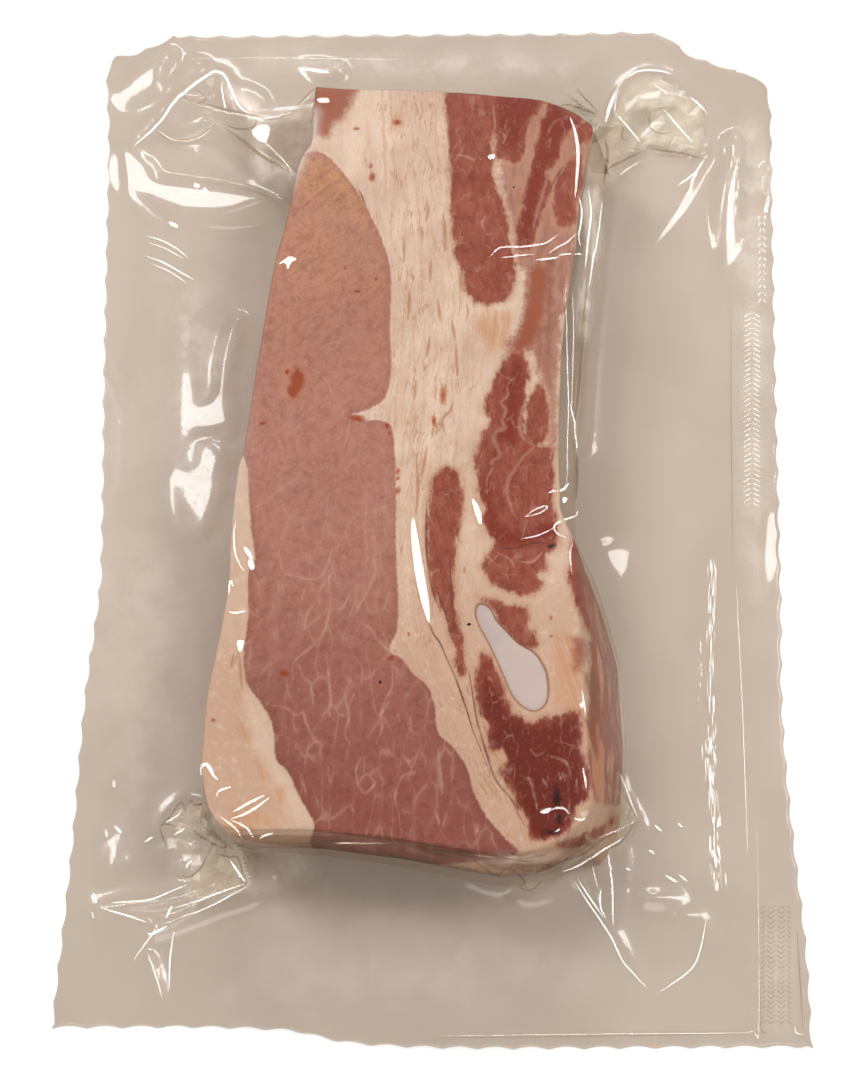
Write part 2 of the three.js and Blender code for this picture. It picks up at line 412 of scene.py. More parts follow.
FAT_CRACKS = [
    [(427, 199), (428, 212), (426, 221)], [(443, 213), (445, 229), (445, 251)], [(422, 226), (422, 241)],
    [(431, 259), (430, 281)], [(460, 277), (462, 292)], [(452, 321), (455, 339)], [(404, 237), (404, 260)],
    [(430, 337), (427, 356)], [(456, 343), (457, 375)], [(453, 403), (450, 411), (442, 420), (445, 433)],
    [(432, 416), (435, 423), (439, 430)], [(416, 454), (418, 488), (416, 515)], [(427, 446), (422, 476)],
    [(410, 290), (408, 320)], [(416, 380), (414, 400)], [(465, 566), (464, 574)], [(438, 300), (440, 320)],
    [(234, 652), (231, 668)], [(239, 654), (242, 690)],
]
PALE_VEINS = [
    [(493, 105), (495, 125), (493, 133), (491, 148), (492, 155)],
    [(455, 155), (465, 156), (475, 160), (476, 151)], [(500, 130), (505, 136), (503, 143)],
    [(486, 216), (482, 223), (485, 231)], [(547, 135), (553, 123), (561, 118)],
    [(498, 552), (510, 559), (514, 566)], [(543, 551), (533, 561), (520, 562)],
    [(531, 749), (536, 755), (545, 751)], [(546, 755), (563, 760), (569, 768), (571, 778)],
    [(522, 776), (530, 780), (534, 794), (537, 809)], [(542, 778), (547, 786)], [(559, 772), (561, 780)],
    [(577, 778), (577, 794)], [(561, 714), (561, 724)], [(487, 676), (492, 681)],
    [(323, 377), (329, 385), (333, 395), (339, 406), (343, 412), (338, 420)],
    [(350, 422), (348, 432), (344, 447)], [(254, 508), (268, 499), (284, 486), (300, 476)],
    [(279, 551), (284, 572), (303, 578), (314, 579), (322, 575), (329, 561), (333, 546)],
    [
        (328, 570), (330, 595), (330, 609), (326, 626), (321, 637), (315, 644), (301, 655), (293, 664),
        (293, 678),
    ],
    [(331, 608), (342, 608), (351, 591)], [(373, 554), (375, 572), (368, 590), (354, 615)],
    [(317, 601), (308, 612), (304, 630)],
    [(358, 616), (362, 624), (370, 628), (378, 640), (390, 650), (398, 644)],
    [(392, 664), (392, 687), (385, 701), (381, 716), (382, 728), (376, 744)],
    [(308, 675), (312, 690), (313, 709)], [(326, 648), (328, 670), (331, 698), (329, 712), (333, 719)],
    [(351, 680), (345, 694), (349, 716), (345, 733), (349, 743)],
    [
        (261, 701), (272, 705), (286, 708), (296, 715), (303, 712), (306, 723), (312, 735), (317, 740),
        (309, 747), (306, 756),
    ],
    [(361, 758), (356, 769), (358, 784), (365, 793), (374, 785), (376, 779)],
    [(328, 766), (329, 778), (331, 784)],
    [(417, 755), (409, 764), (415, 773), (404, 775), (397, 787), (395, 800), (398, 812), (402, 832)],
    [(402, 754), (409, 764)], [(438, 750), (440, 770), (442, 794)], [(410, 716), (411, 731)],
    [(436, 812), (440, 825)], [(299, 771), (303, 784), (307, 796)], [(315, 796), (319, 808)],
    [(351, 806), (354, 813)], [(397, 712), (401, 723)], [(479, 823), (475, 836)],
]

# Rust, clots, specks and a dark spot at the end of the crease in the top: pixel, and half the width and half
# the length in millimetres
RUST_SPOTS = [
    ((297, 380), 2.6, 4.6), ((293, 391), 1.8, 2.6), ((287, 372), 0.9, 1), ((372, 177), 1.2, 2.2),
    ((371, 166), 0.8, 1.2), ((356, 128), 1.4, 0.9), ((443, 395), 1.3, 3.4), ((434, 421), 0.8, 2),
    ((262, 423), 1.2, 0.7), ((391, 658), 1.2, 1.1), ((409, 634), 0.6, 0.6), ((387, 426), 0.7, 1.2),
    ((389, 433), 0.5, 0.7), ((357, 292), 1.2, 0.5), ((376, 279), 0.8, 0.6), ((284, 673), 1.4, 1.2),
    ((551, 618), 0.5, 1), ((551, 636), 0.8, 0.5), ((345, 268), 0.5, 0.8), ((397, 122), 1.8, 1.2),
    ((413, 769), 0.7, 0.6), ((459, 792), 0.6, 0.5), ((213, 720), 0.9, 0.7), ((357, 418), 2.6, 1.1),
    ((398, 471), 0.8, 1.3), ((398, 478), 0.7, 0.9), ((398, 490), 0.9, 1.4),
]
DARK_SPOTS = [
    ((552, 545), 1.6, 1), ((557, 797), 1.6, 3.4), ((559, 818), 1.6, 2), ((552, 832), 3, 1),
    ((492, 466), 0.4, 0.8),
]
BLACK_SPECKS = [
    ((469, 624), 0.9, 0.6), ((380, 682), 0.6, 0.8), ((418, 229), 0.35, 0.35), ((514, 187), 0.5, 0.5),
    ((440, 282), 0.3, 0.6),
]

# Crease in the right of the top, and the run of the grain in the fat, as pixels
CREASE_PATH = [(580, 548), (551, 543), (536, 541), (513, 547), (491, 546), (458, 544)]
FAT_GRAIN = [
    (420, 90), (425, 200), (428, 300), (420, 400), (412, 480), (410, 560), (414, 620), (432, 680),
    (462, 740), (490, 800), (512, 850),
]

# Folds that stand up in the film round the block: pixel and height of each point, and the fold's width
FOLDS = [
    ([
        (318, 92, 36), (296, 108, 25), (270, 120, 16), (246, 118, 11), (222, 112, 8), (196, 104, 6),
        (176, 98, 5),
    ], 3.5),
    ([
        (136, 142, 1.5), (155, 118, 3), (176, 97, 5), (196, 82, 5.5), (211, 75, 5.5), (224, 81, 5.5),
        (236, 112, 7), (256, 126, 10),
    ], 3),
    ([(211, 122, 6), (240, 138, 6), (270, 158, 7), (296, 176, 12)], 4),
    ([
        (588, 118, 34), (606, 128, 22), (625, 122, 9), (650, 108, 4), (680, 106, 2.5), (705, 130, 1.5),
        (707, 157, 1),
    ], 2.5),
    ([
        (617, 128, 5), (615, 108, 2.5), (623, 84, 1), (646, 70, 0.6), (670, 75, 0.6), (693, 97, 0.6),
        (709, 118, 0.8), (709, 140, 0.8),
    ], 2.5),
    ([(600, 165, 10), (630, 152, 4), (660, 148, 2.5), (706, 157, 1)], 1.5),
    ([(572, 846, 16), (585, 880, 5), (600, 905, 2), (622, 945, 0.8), (647, 988, 0.3)], 2),
    ([(610, 838, 12), (612, 870, 6), (612, 925, 1.5)], 2),
    ([(706, 914, 0.4), (697, 952, 0.5), (667, 987, 0.5), (631, 1000, 0.4)], 2.5),
    ([(590, 806, 33), (606, 804, 28), (622, 806, 22), (636, 818, 14)], 1.1),
    ([(636, 818, 14), (616, 828, 15), (600, 840, 14), (580, 852, 13), (563, 864, 12)], 1.1),
    ([(618, 772, 24), (620, 786, 20), (626, 798, 16), (636, 818, 13)], 1.1),
    ([
        (563, 866, 12), (546, 882, 8), (528, 887, 7), (522, 874, 9), (510, 868, 12), (497, 873, 10),
        (478, 860, 16),
    ], 2.5),
    ([(232, 838, 24), (244, 862, 14), (248, 885, 9), (220, 898, 7), (190, 914, 5), (146, 936, 2.5)], 2.5),
    ([(99, 909, 2), (130, 905, 3), (175, 899, 4.5), (220, 883, 6)], 2.5),
    ([(99, 909, 2), (146, 922, 2.5), (170, 920, 3)], 2),
    ([(134, 960, 1.5), (146, 940, 3), (158, 924, 3.5)], 2),
    ([(148, 954, 2.5), (156, 976, 2.5), (162, 997, 1.5)], 1.8),
    ([(206, 822, 12), (190, 806, 6), (174, 812, 3), (162, 826, 1.5)], 2),
    ([(206, 828, 10), (188, 832, 4), (170, 826, 2)], 2),
    ([(212, 838, 10), (196, 846, 4), (178, 842, 2), (166, 850, 1)], 2),
    ([(218, 842, 10), (206, 862, 4), (186, 866, 2), (190, 878, 1)], 2),
    ([(604, 150, 18), (600, 190, 14), (595, 240, 12), (589, 300, 11), (583, 360, 10), (577, 430, 12)], 2),
]

# Patches of film that lie tilted to a lamp and shine: the lamp, and the outline as pixels
FACETS = [
    ("left", [
        (125, 154), (147, 166), (158, 181), (180, 187), (225, 195), (258, 204), (266, 212), (224, 220),
        (180, 214), (145, 197), (126, 187),
    ]),
    ("left", [(110, 157), (118, 155), (119, 182), (112, 184)]),
    ("left", [(112, 104), (132, 80), (150, 68), (170, 58), (160, 76), (156, 90), (140, 100)]),
    ("left", [(168, 86), (185, 70), (193, 65), (200, 68), (184, 82)]),
    ("left", [(236, 95), (246, 92), (258, 98), (262, 106), (256, 110), (244, 106)]),
    ("left", [(246, 130), (256, 122), (266, 122), (264, 133), (260, 139)]),
    ("left", [
        (238, 322), (232, 350), (228, 374), (228, 400), (230, 426), (212, 432), (196, 430), (184, 432),
        (184, 404), (183, 374), (192, 374), (196, 402), (208, 404), (218, 392), (222, 366), (230, 336),
    ]),
    ("left", [
        (204, 446), (214, 446), (222, 460), (218, 474), (217, 492), (210, 516), (199, 530), (186, 512),
        (178, 490), (171, 479), (182, 472), (196, 468), (200, 454),
    ]),
    ("left", [(296, 66), (334, 70), (336, 75), (322, 80), (304, 72)]),
    ("left", [(112, 838), (117, 838), (119, 858), (110, 870), (107, 866)]),
    ("right", [
        (733, 142), (740, 160), (738, 190), (737, 235), (731, 265), (724, 255), (720, 225), (722, 190),
        (730, 165),
    ]),
    ("right", [
        (706, 158), (698, 172), (690, 195), (672, 225), (656, 246), (668, 222), (684, 196), (692, 174),
    ]),
    ("right", [(650, 899), (666, 895), (682, 896), (692, 900), (680, 902)]),
    ("right", [(680, 916), (700, 911), (707, 914), (704, 918)]),
    ("right", [(604, 552), (616, 546), (628, 552), (626, 566), (612, 570)]),
    ("right", [(766, 516), (774, 512), (776, 545), (772, 578), (764, 560)]),
    ("right", [(770, 172), (773, 196), (766, 216), (763, 206)]),
]

# Film bunched up at the block's corners: cloud, cream, depth of crumples, and the outline as pixels
BUNCHES = [
    (0.15, 0.2, 0.6, [
        (566, 834), (578, 812), (600, 800), (608, 786), (617, 772), (626, 790), (637, 818), (612, 822),
        (590, 832), (575, 838),
    ]),
    (0.75, 0.25, 0.6, [
        (637, 819), (632, 834), (612, 848), (572, 870), (545, 884), (528, 890), (519, 886), (526, 880),
        (545, 872), (558, 866), (564, 858), (590, 844), (606, 835),
    ]),
    (0.4, 0, 0.6, [
        (478, 856), (500, 852), (540, 850), (565, 848), (562, 860), (545, 870), (528, 880), (512, 869),
        (497, 873),
    ]),
    (0.5, 0.9, 0.6, [
        (160, 826), (182, 803), (206, 803), (222, 836), (250, 846), (248, 885), (215, 902), (180, 908),
        (186, 878), (168, 848),
    ]),
    (0.6, 1, 0.3, [
        (606, 130), (616, 100), (628, 80), (650, 74), (670, 78), (700, 104), (708, 150), (703, 158),
        (660, 150), (635, 152), (610, 170), (603, 186), (600, 140),
    ]),
    (0.5, 0.6, 0.5, [(560, 106), (570, 94), (577, 86), (588, 98), (598, 113), (590, 118), (575, 112)]),
]

# Haze in the film, partly its real frosting at the seal and mostly painted sheen of reflections and painted
# light on shaded film: how strong, how soft in pixels, and the outline as pixels
HAZE_AND_PAINTED_LIGHT = [
    (0.6, 7, [
        (584, 195), (601, 190), (599, 250), (592, 310), (586, 340), (577, 320), (580, 270), (586, 240),
    ]),
    (0.34, 18, [
        (738, 130), (768, 150), (770, 330), (763, 520), (768, 575), (748, 590), (742, 420), (738, 300),
        (728, 220),
    ]),
    (0.36, 34, [
        (180, 290), (222, 300), (230, 330), (230, 440), (215, 520), (188, 535), (176, 480), (178, 400),
    ]),
    (0.22, 40, [(120, 560), (190, 560), (175, 700), (160, 800), (115, 860), (105, 800), (115, 680)]),
    (0.8, 12, [(230, 90), (258, 105), (284, 120), (274, 148), (256, 138), (242, 112)]),
    (0.42, 16, [
        (168, 824), (205, 818), (240, 846), (300, 856), (318, 870), (280, 890), (230, 895), (182, 888),
    ]),
    (0.5, 9, [(178, 318), (192, 316), (194, 345), (190, 380), (187, 425), (178, 425), (176, 370)]),
    (0.12, 22, [(260, 868), (480, 880), (500, 905), (380, 935), (250, 905)]),
    (0.16, 40, [(190, 985), (330, 950), (500, 930), (600, 950), (540, 1005), (220, 1010)]),
    (0.24, 12, [(766, 915), (786, 915), (792, 1024), (766, 1024)]),
    (0.42, 20, [(280, 50), (540, 54), (540, 76), (300, 72)]),
    (0.85, 12, [
        (262, 140), (280, 122), (314, 112), (312, 140), (300, 164), (288, 190), (268, 186), (252, 160),
    ]),
]

# Air bubbles in the flat film: pixel, and half the width, half the length and the rise in millimetres
BUBBLES = [((183, 120), 9.4, 7, 3)]

# Dark creases where the film is seen edge on, and wider strips along the block's near edge that are partly
# painted shade of the shaded near wall: width in millimetres, and the path as pixels
CREASES_AND_SHADE_STRIPS = [
    (0.6, [(475, 860), (485, 867), (497, 874), (505, 868), (514, 870), (521, 876), (525, 881), (519, 886)]),
    (0.5, [(519, 886), (527, 890), (535, 886), (542, 880)]),
    (0.4, [(478, 852), (500, 857), (520, 860), (537, 862)]),
    (0.7, [(563, 860), (575, 856), (590, 848), (605, 836)]),
    (0.4, [(634, 822), (628, 832), (618, 844), (606, 848)]),
    (0.6, [(160, 826), (168, 819), (176, 809), (182, 803), (187, 812)]),
    (0.5, [(160, 828), (163, 838), (168, 848)]), (0.5, [(161, 825), (168, 824), (176, 826)]),
    (0.6, [(216, 853), (230, 856), (238, 856), (243, 870), (242, 880)]),
    (0.7, [(193, 830), (203, 837), (214, 843), (222, 846), (227, 845), (224, 838)]),
    (0.5, [(182, 876), (192, 876), (202, 866), (207, 856)]), (0.6, [(190, 801), (196, 806), (206, 803)]),
    (0.7, [(158, 132), (170, 139), (185, 140), (198, 137), (208, 130), (216, 123)]),
    (0.4, [(181, 95), (188, 100), (196, 103), (204, 102), (206, 99), (200, 92), (194, 89)]),
    (0.5, [(193, 105), (206, 105), (225, 110), (240, 113), (256, 117), (268, 119), (280, 116), (290, 113)]),
    (0.5, [(290, 113), (300, 104), (310, 93), (316, 88)]),
    (0.6, [(222, 123), (235, 128), (250, 128), (256, 124), (257, 118)]),
    (1.2, [(222, 126), (240, 138), (262, 155), (290, 172)]), (0.6, [(316, 90), (314, 110), (311, 124)]),
    (0.6, [(576, 88), (584, 98), (592, 106), (598, 113)]),
    (0.6, [(570, 97), (576, 102), (584, 108), (596, 114)]),
    (0.6, [(560, 106), (572, 106), (584, 110), (596, 115)]),
    (1.0, [(604, 138), (606, 150), (605, 165), (603, 184)]),
    (0.4, [(617, 114), (622, 128), (621, 138), (627, 140)]),
    (0.4, [(650, 110), (649, 122), (652, 130), (662, 134), (672, 132)]),
    (0.7, [(646, 148), (660, 150), (680, 153), (703, 159)]), (0.8, [(606, 170), (620, 162), (640, 152)]),
    (0.8, [(573, 440), (577, 470), (576, 500)]), (1.2, [(586, 290), (580, 340), (576, 400), (574, 420)]),
    # Wide strips along the block's near edge: partly the film bridging the edge, partly painted shade
    (3.4, [(236, 835), (300, 836), (360, 838), (430, 846)]), (3.0, [(415, 846), (450, 852), (478, 855)]),
    (2.0, [(418, 847), (450, 852), (474, 854)]), (2.2, [(512, 864), (530, 865), (552, 864)]),
    (0.2, [(757, 900), (760, 1020), (752, 1032), (600, 1036), (430, 1038)]),
    (0.25, [(731, 300), (731, 420), (733, 560)]), (0.3, [(797, 930), (800, 980), (803, 1030)]),
]

# Small crisp glints on the film: the lamp, and the outline as pixels
GLINTS = [
    ("left", [
        (411, 519), (415, 524), (419, 545), (424, 575), (429, 604), (429, 624), (424, 612), (417, 585),
        (412, 550),
    ]),
    ("left", [(472, 499), (478, 506), (482, 519), (480, 525), (476, 517), (473, 506)]),
    ("left", [(279, 265), (285, 260), (290, 257), (297, 260), (292, 263), (288, 270), (285, 264)]),
    ("left", [(244, 549), (248, 549), (253, 558), (250, 559)]),
    ("left", [(248, 562), (252, 560), (255, 568), (251, 570)]),
    ("left", [(237, 642), (244, 641), (242, 651), (239, 651)]),
    ("right", [(561, 497), (565, 499), (563, 503), (560, 502)]),
    ("left", [(488, 156), (494, 155), (494, 159), (489, 160)]),
    ("left", [(318, 99), (328, 99), (329, 103), (319, 103)]),
    ("left", [(256, 126), (263, 119), (273, 120), (272, 131), (268, 136), (261, 133)]),
    ("left", [(195, 184), (200, 186), (198, 189), (194, 187)]),
    ("left", [(204, 188), (208, 190), (206, 193), (202, 191)]),
    ("left", [(169, 222), (176, 224), (178, 228), (171, 226)]),
    ("right", [(540, 812), (548, 808), (552, 810), (545, 814)]),
    ("right", [(580, 704), (583, 702), (583, 708), (580, 707)]),
]

# Ragged streaks of short flats: how many, how far they stray in pixels, and the path as pixels
STREAKS = [
    (60, 2.0, [(712, 560), (711, 650), (711, 720), (712, 790)]),
    (100, 3.2, [(710, 740), (712, 800), (716, 870), (721, 918)]), (14, 1.0, [(700, 640), (701, 715)]),
    (40, 3, [(732, 145), (733, 180), (731, 220), (728, 262)]),
    (16, 2, [(704, 160), (694, 180), (682, 205), (664, 234)]),
    (14, 2, [(764, 172), (766, 200), (764, 230)]),
]

# Knurls in the seal: left, right, first and last row, and pitch, as pixels
KNURLS = [(744, 760, 313, 504, 5), (758, 766, 215, 300, 7)]
DULL_KNURLS = [(761, 771, 905, 1022, 5), (771, 781, 905, 1022, 5), (781, 791, 905, 1022, 5)]

# Thin wrinkles in the film: width of the shining flank in millimetres, and the path as pixels
WRINKLES = [
    (1.1, [(570, 117), (575, 132), (578, 152), (577, 175), (575, 198)]),
    (0.7, [(490, 257), (495, 251), (503, 247), (520, 247), (536, 245), (546, 243), (558, 235)]),
    (0.5, [(501, 258), (516, 256), (534, 254)]), (0.8, [(536, 260), (548, 259), (559, 257)]),
    (0.6, [(558, 255), (569, 254), (581, 254)]), (0.5, [(548, 254), (558, 247), (566, 243), (577, 233)]),
    (0.3, [(567, 281), (565, 296), (566, 320), (567, 373), (568, 406), (567, 440), (567, 472), (566, 486)]),
    (0.25, [(572, 290), (573, 330), (572, 380), (571, 420)]),
    (0.9, [(548, 493), (554, 491), (561, 490), (567, 483)]),
    (0.5, [(521, 539), (536, 536), (548, 531), (554, 527)]),
    (0.6, [(565, 537), (558, 534), (554, 529), (556, 524), (566, 519), (574, 516), (578, 511)]),
    (0.35, [(564, 537), (571, 541), (570, 556), (572, 575)]),
    (0.5, [(569, 403), (573, 420), (576, 433), (576, 453)]),
    (0.6, [(578, 196), (581, 213), (578, 236), (580, 246)]),
    (0.6, [(588, 190), (590, 215), (587, 240), (585, 268)]),
    (0.5, [(602, 200), (598, 230), (593, 262), (589, 290)]), (0.7, [(583, 768), (585, 778), (586, 788)]),
    (0.5, [(582, 690), (584, 704), (585, 716)]),
    (0.5, [(236, 522), (234, 533), (235, 551), (239, 563), (244, 571)]),
    (0.6, [(229, 595), (230, 580), (233, 586)]), (0.8, [(229, 612), (237, 613), (245, 611)]),
    (1.0, [(201, 775), (202, 766), (206, 764), (210, 768), (213, 775), (218, 780)]),
    (0.6, [(217, 796), (219, 791), (231, 787)]), (0.8, [(233, 812), (249, 803), (265, 795)]),
    (0.8, [(231, 819), (249, 812), (269, 798)]), (0.5, [(221, 817), (235, 828), (242, 837)]),
    (0.6, [(231, 820), (244, 826), (252, 834), (255, 838)]), (0.6, [(259, 840), (262, 835), (273, 833)]),
    (0.5, [(238, 841), (290, 842), (333, 842), (385, 843)]), (0.7, [(552, 809), (563, 808), (569, 814)]),
    (0.6, [(555, 832), (560, 829)]), (0.5, [(574, 818), (579, 820), (585, 819)]),
    (0.35, [(618, 772), (626, 790), (632, 806), (637, 818)]),
    (0.5, [(525, 517), (536, 509), (548, 506), (540, 513), (525, 517)]),
    (0.5, [(636, 820), (620, 828), (598, 837), (580, 847), (566, 857), (561, 868)]),
    (0.5, [(563, 871), (578, 865), (598, 852), (622, 838)]),
    (0.5, [(574, 880), (590, 905), (610, 935), (622, 960), (634, 974), (647, 988)]),
    (0.5, [(579, 880), (592, 900), (604, 918)]), (0.5, [(601, 888), (600, 905), (606, 918)]),
    (0.5, [(608, 850), (612, 880), (613, 925)]), (0.4, [(706, 920), (700, 950), (690, 970), (660, 992)]),
    (0.7, [(655, 825), (661, 831)]), (0.6, [(678, 823), (682, 827)]), (0.6, [(649, 850), (655, 854)]),
    (0.6, [(626, 868), (630, 870)]), (0.8, [(666, 876), (677, 882)]), (0.6, [(679, 875), (687, 881)]),
    (0.7, [(231, 860), (239, 871), (246, 882)]), (0.5, [(246, 884), (225, 891), (200, 900), (178, 907)]),
    (0.4, [(246, 887), (225, 898), (205, 908), (180, 918)]), (0.8, [(148, 935), (157, 931), (167, 926)]),
    (0.6, [(102, 908), (125, 915), (146, 922)]), (0.5, [(110, 903), (150, 900), (170, 892), (187, 885)]),
    (0.5, [(174, 930), (170, 960), (169, 990)]), (0.5, [(148, 954), (156, 976), (162, 997)]),
    (0.4, [(134, 960), (146, 942), (158, 925)]), (0.7, [(172, 905), (166, 918)]),
    (0.5, [(166, 822), (174, 818), (182, 810)]), (0.5, [(175, 835), (185, 828)]),
    (0.6, [(187, 868), (188, 864), (192, 861)]), (0.6, [(145, 842), (153, 837)]),
    (0.8, [(114, 780), (114, 787)]), (0.7, [(106, 830), (107, 837)]), (0.9, [(115, 826), (121, 833)]),
    (0.7, [(93, 893), (96, 902)]), (0.5, [(92, 912), (94, 918)]),
    (0.35, [(316, 91), (300, 104), (286, 114), (262, 119), (240, 115), (225, 112), (211, 108), (195, 104)]),
    (1.0, [
        (134, 146), (160, 122), (175, 101), (200, 80), (212, 73), (222, 75), (228, 84), (238, 106),
        (250, 115),
    ]),
    (0.5, [(146, 236), (160, 240), (176, 248), (188, 258)]), (0.35, [(150, 243), (166, 249), (184, 259)]),
    (0.6, [(146, 256), (162, 262), (180, 272), (194, 280)]), (0.35, [(152, 264), (170, 272), (188, 284)]),
    (0.5, [(222, 82), (223, 95), (226, 110)]), (0.4, [(250, 128), (272, 148), (292, 172)]),
    (0.4, [(158, 130), (172, 139), (190, 140), (206, 133), (214, 122)]),
    (0.8, [(298, 68), (314, 70), (330, 73)]), (0.8, [(626, 78), (640, 71), (660, 71), (671, 74)]),
    (0.6, [(616, 114), (628, 128), (640, 142)]), (0.6, [(664, 110), (678, 126), (692, 142)]),
    (0.5, [(655, 85), (668, 94)]), (0.6, [(690, 97), (700, 106), (707, 114)]),
    (1.2, [(606, 122), (611, 106), (616, 92)]), (0.6, [(700, 168), (690, 177), (678, 186)]),
    (0.15, [(757, 820), (759, 1020), (752, 1031), (730, 1033), (600, 1034), (430, 1036)]),
    (0.2, [(736, 582), (742, 700), (748, 860)]), (0.15, [(190, 59), (260, 58), (340, 59), (430, 60)]),
    (0.3, [(795, 1026), (796, 1033), (803, 1034)]),
]

# What the marks on the pork are made of: closed outlines, lines with their half width, and spots
AREAS = {
    "pink": [PINK_LEAN], "red": DARK_LEANS.values(), "deep": DEEP_LEANS.values(), "flank": [SIDE_FLANK],
    "orange": ORANGE_PATCHES.values(), "stain": STAINS.values(), "brown_shade_and_reflection": BROWN_STRIPS_SHADE_AND_REFLECTION.values(),
    "pale": PALE_PATCHES.values(), "mixed": MIXED_PATCHES.values(), "bone": [BONE],
}
LINES = {
    "seam": (DARK_SEAMS, 0.42), "long_seam": (LONG_SEAMS, 0.5), "crack": (FAT_CRACKS, 0.45),
    "vein": (PALE_VEINS, 0.4), "septum": (SEPTA, 0.55),
}
SPOTS = {"rust": RUST_SPOTS, "dark": DARK_SPOTS, "speck": BLACK_SPECKS}


# Places and curves

def ray_slopes(pixel):
    """How steeply the camera's ray through a pixel runs right and up."""
    return (pixel[0] - PHOTO_WIDTH / 2) / FOCAL_PIXELS, (PHOTO_HEIGHT / 2 - pixel[1]) / FOCAL_PIXELS


def on_plane(pixels, height):
    """The place in the pack's frame where the camera sees each pixel on the level plane at that height."""
    right, up = ray_slopes(np.asarray(pixels, float).T)
    y = (up * (CAMERA_DISTANCE - height * COSINE) - height * SINE) / (COSINE - up * SINE)
    x = right * (CAMERA_DISTANCE + y * SINE - height * COSINE)
    return np.stack([x + LOOK_AT[0], y + LOOK_AT[1]], axis=1)


def camera_ray(pixel):
    """Direction in which the camera sees a pixel."""
    right, up = ray_slopes(pixel)
    return unit(np.array([right, up * COSINE + SINE, up * SINE - COSINE]))


def seen_places(points):
    """Where the camera's view of each point crosses the level of the block's top."""
    share = (BLOCK_HEIGHT - CAMERA_PLACE[2]) / (points[:, 2] - CAMERA_PLACE[2])
    return (CAMERA_PLACE + (points - CAMERA_PLACE) * share[:, None])[:, :2]


def seen_pixels(points):
    """The pixel at which the camera sees each point."""
    x, y, z = (points - CAMERA_PLACE).T
    depth = y * SINE - z * COSINE
    right = PHOTO_WIDTH / 2 + FOCAL_PIXELS * x / depth
    down = PHOTO_HEIGHT / 2 - FOCAL_PIXELS * (y * COSINE + z * SINE) / depth
    return np.stack([right, down], axis=1)


def unit(vector):
    """The same direction with length 1, for one vector or a row of them."""
    return vector / np.linalg.norm(vector, axis=-1, keepdims=True)


def smooth_curve(points, closed=False, steps=PATH_STEPS):
    """A Catmull-Rom curve through these points."""
    points = np.asarray(points, float)
    if closed:
        around = np.concatenate([points[-1:], points, points[:2]])
    else:
        around = np.concatenate([2 * points[:1] - points[1:2], points, 2 * points[-1:] - points[-2:-1]])
    p0, p1, p2, p3 = (around[i:len(around) - 3 + i, None] for i in range(4))
    t = (np.arange(steps) / steps)[None, :, None]
    curve = p1 + 0.5 * t * (p2 - p0 + t * (2 * p0 - 5 * p1 + 4 * p2 - p3 + t * (3 * (p1 - p2) + p3 - p0)))
    curve = curve.reshape(-1, points.shape[1])
    return curve if closed else np.concatenate([curve, points[-1:]])


def step_lengths(curve):
    return np.linalg.norm(np.diff(curve, axis=0), axis=1)


def even_points(curve, count):
    """Points spaced evenly along a curve, both its ends included."""
    lengths = np.concatenate([[0], np.cumsum(step_lengths(curve))])
    wanted = np.linspace(0, lengths[-1], count)
    return np.stack([np.interp(wanted, lengths, curve[:, i]) for i in range(curve.shape[1])], axis=1)


def smooth_step(x, low, high):
    t = np.clip((x - low) / (high - low), 0, 1)
    return t * t * (3 - 2 * t)


def near_box(path, places, margin):
    """Which places lie in the box round a path, grown by a margin."""
    low, high = path.min(axis=0) - margin, path.max(axis=0) + margin
    return np.nonzero(((places > low) & (places < high)).all(axis=1))[0]


def line_distance(path, places):
    """Distance from each place to a path, negative on its right, and the nearest point's share along it."""
    best = np.full(len(places), FAR_AWAY)
    share = np.zeros(len(places))
    side = np.ones(len(places))
    count = len(path) - 1
    for i in range(count):
        run = path[i + 1] - path[i]
        away = places - path[i]
        along = (away[:, 0] * run[0] + away[:, 1] * run[1]) / max(run[0] ** 2 + run[1] ** 2, TINY)
        along = np.clip(along, 0, 1)
        offset = away - along[:, None] * run
        distance = np.hypot(offset[:, 0], offset[:, 1])
        nearer = distance < best
        best = np.where(nearer, distance, best)
        share = np.where(nearer, (i + along) / count, share)
        side = np.where(nearer, np.where(run[0] * offset[:, 1] < run[1] * offset[:, 0], -1.0, 1.0), side)
    return best * side, share


def inside_distance(outline, places, margin=MARK_REACH):
    """Distance from each place to a closed outline, positive inside it and never under minus the margin."""
    result = np.full(len(places), -float(margin))
    chosen = near_box(outline, places, margin)
    local = places[chosen]
    closed = np.concatenate([outline, outline[:1]])
    distance = np.abs(line_distance(closed, local)[0])
    inside = np.zeros(len(local), bool)
    for start, end in zip(closed[:-1], closed[1:]):
        spans = (start[1] > local[:, 1]) != (end[1] > local[:, 1])
        rise = end[1] - start[1] if end[1] != start[1] else TINY
        cross = start[0] + (local[:, 1] - start[1]) / rise * (end[0] - start[0])
        inside ^= spans & (local[:, 0] < cross)
    result[chosen] = np.where(inside, distance, np.maximum(-distance, -margin))
    return result


def closed_outline(points, steps=PATCH_STEPS):
    return smooth_curve(points, closed=True, steps=steps)


def deepest_inside(outlines, places):
    """How far each place lies inside the nearest of these outlines on the block's top."""
    curves = [closed_outline(on_plane(pixels, MARK_HEIGHT), TOP_STEPS) for pixels in outlines]
    return np.max([inside_distance(curve, places) for curve in curves], axis=0)


def deepest_spot(spots, places):
    """How deep each place lies in the nearest of these spots: 1 at a middle, 0 at a rim, negative outside."""
    deepest = np.full(len(places), OUTSIDE_SPOTS)
    for pixel, across, along in spots:
        away = (places - on_plane([pixel], BLOCK_HEIGHT)[0]) / (across, along)
        deepest = np.maximum(deepest, 1 - np.hypot(away[:, 0], away[:, 1]))
    return deepest


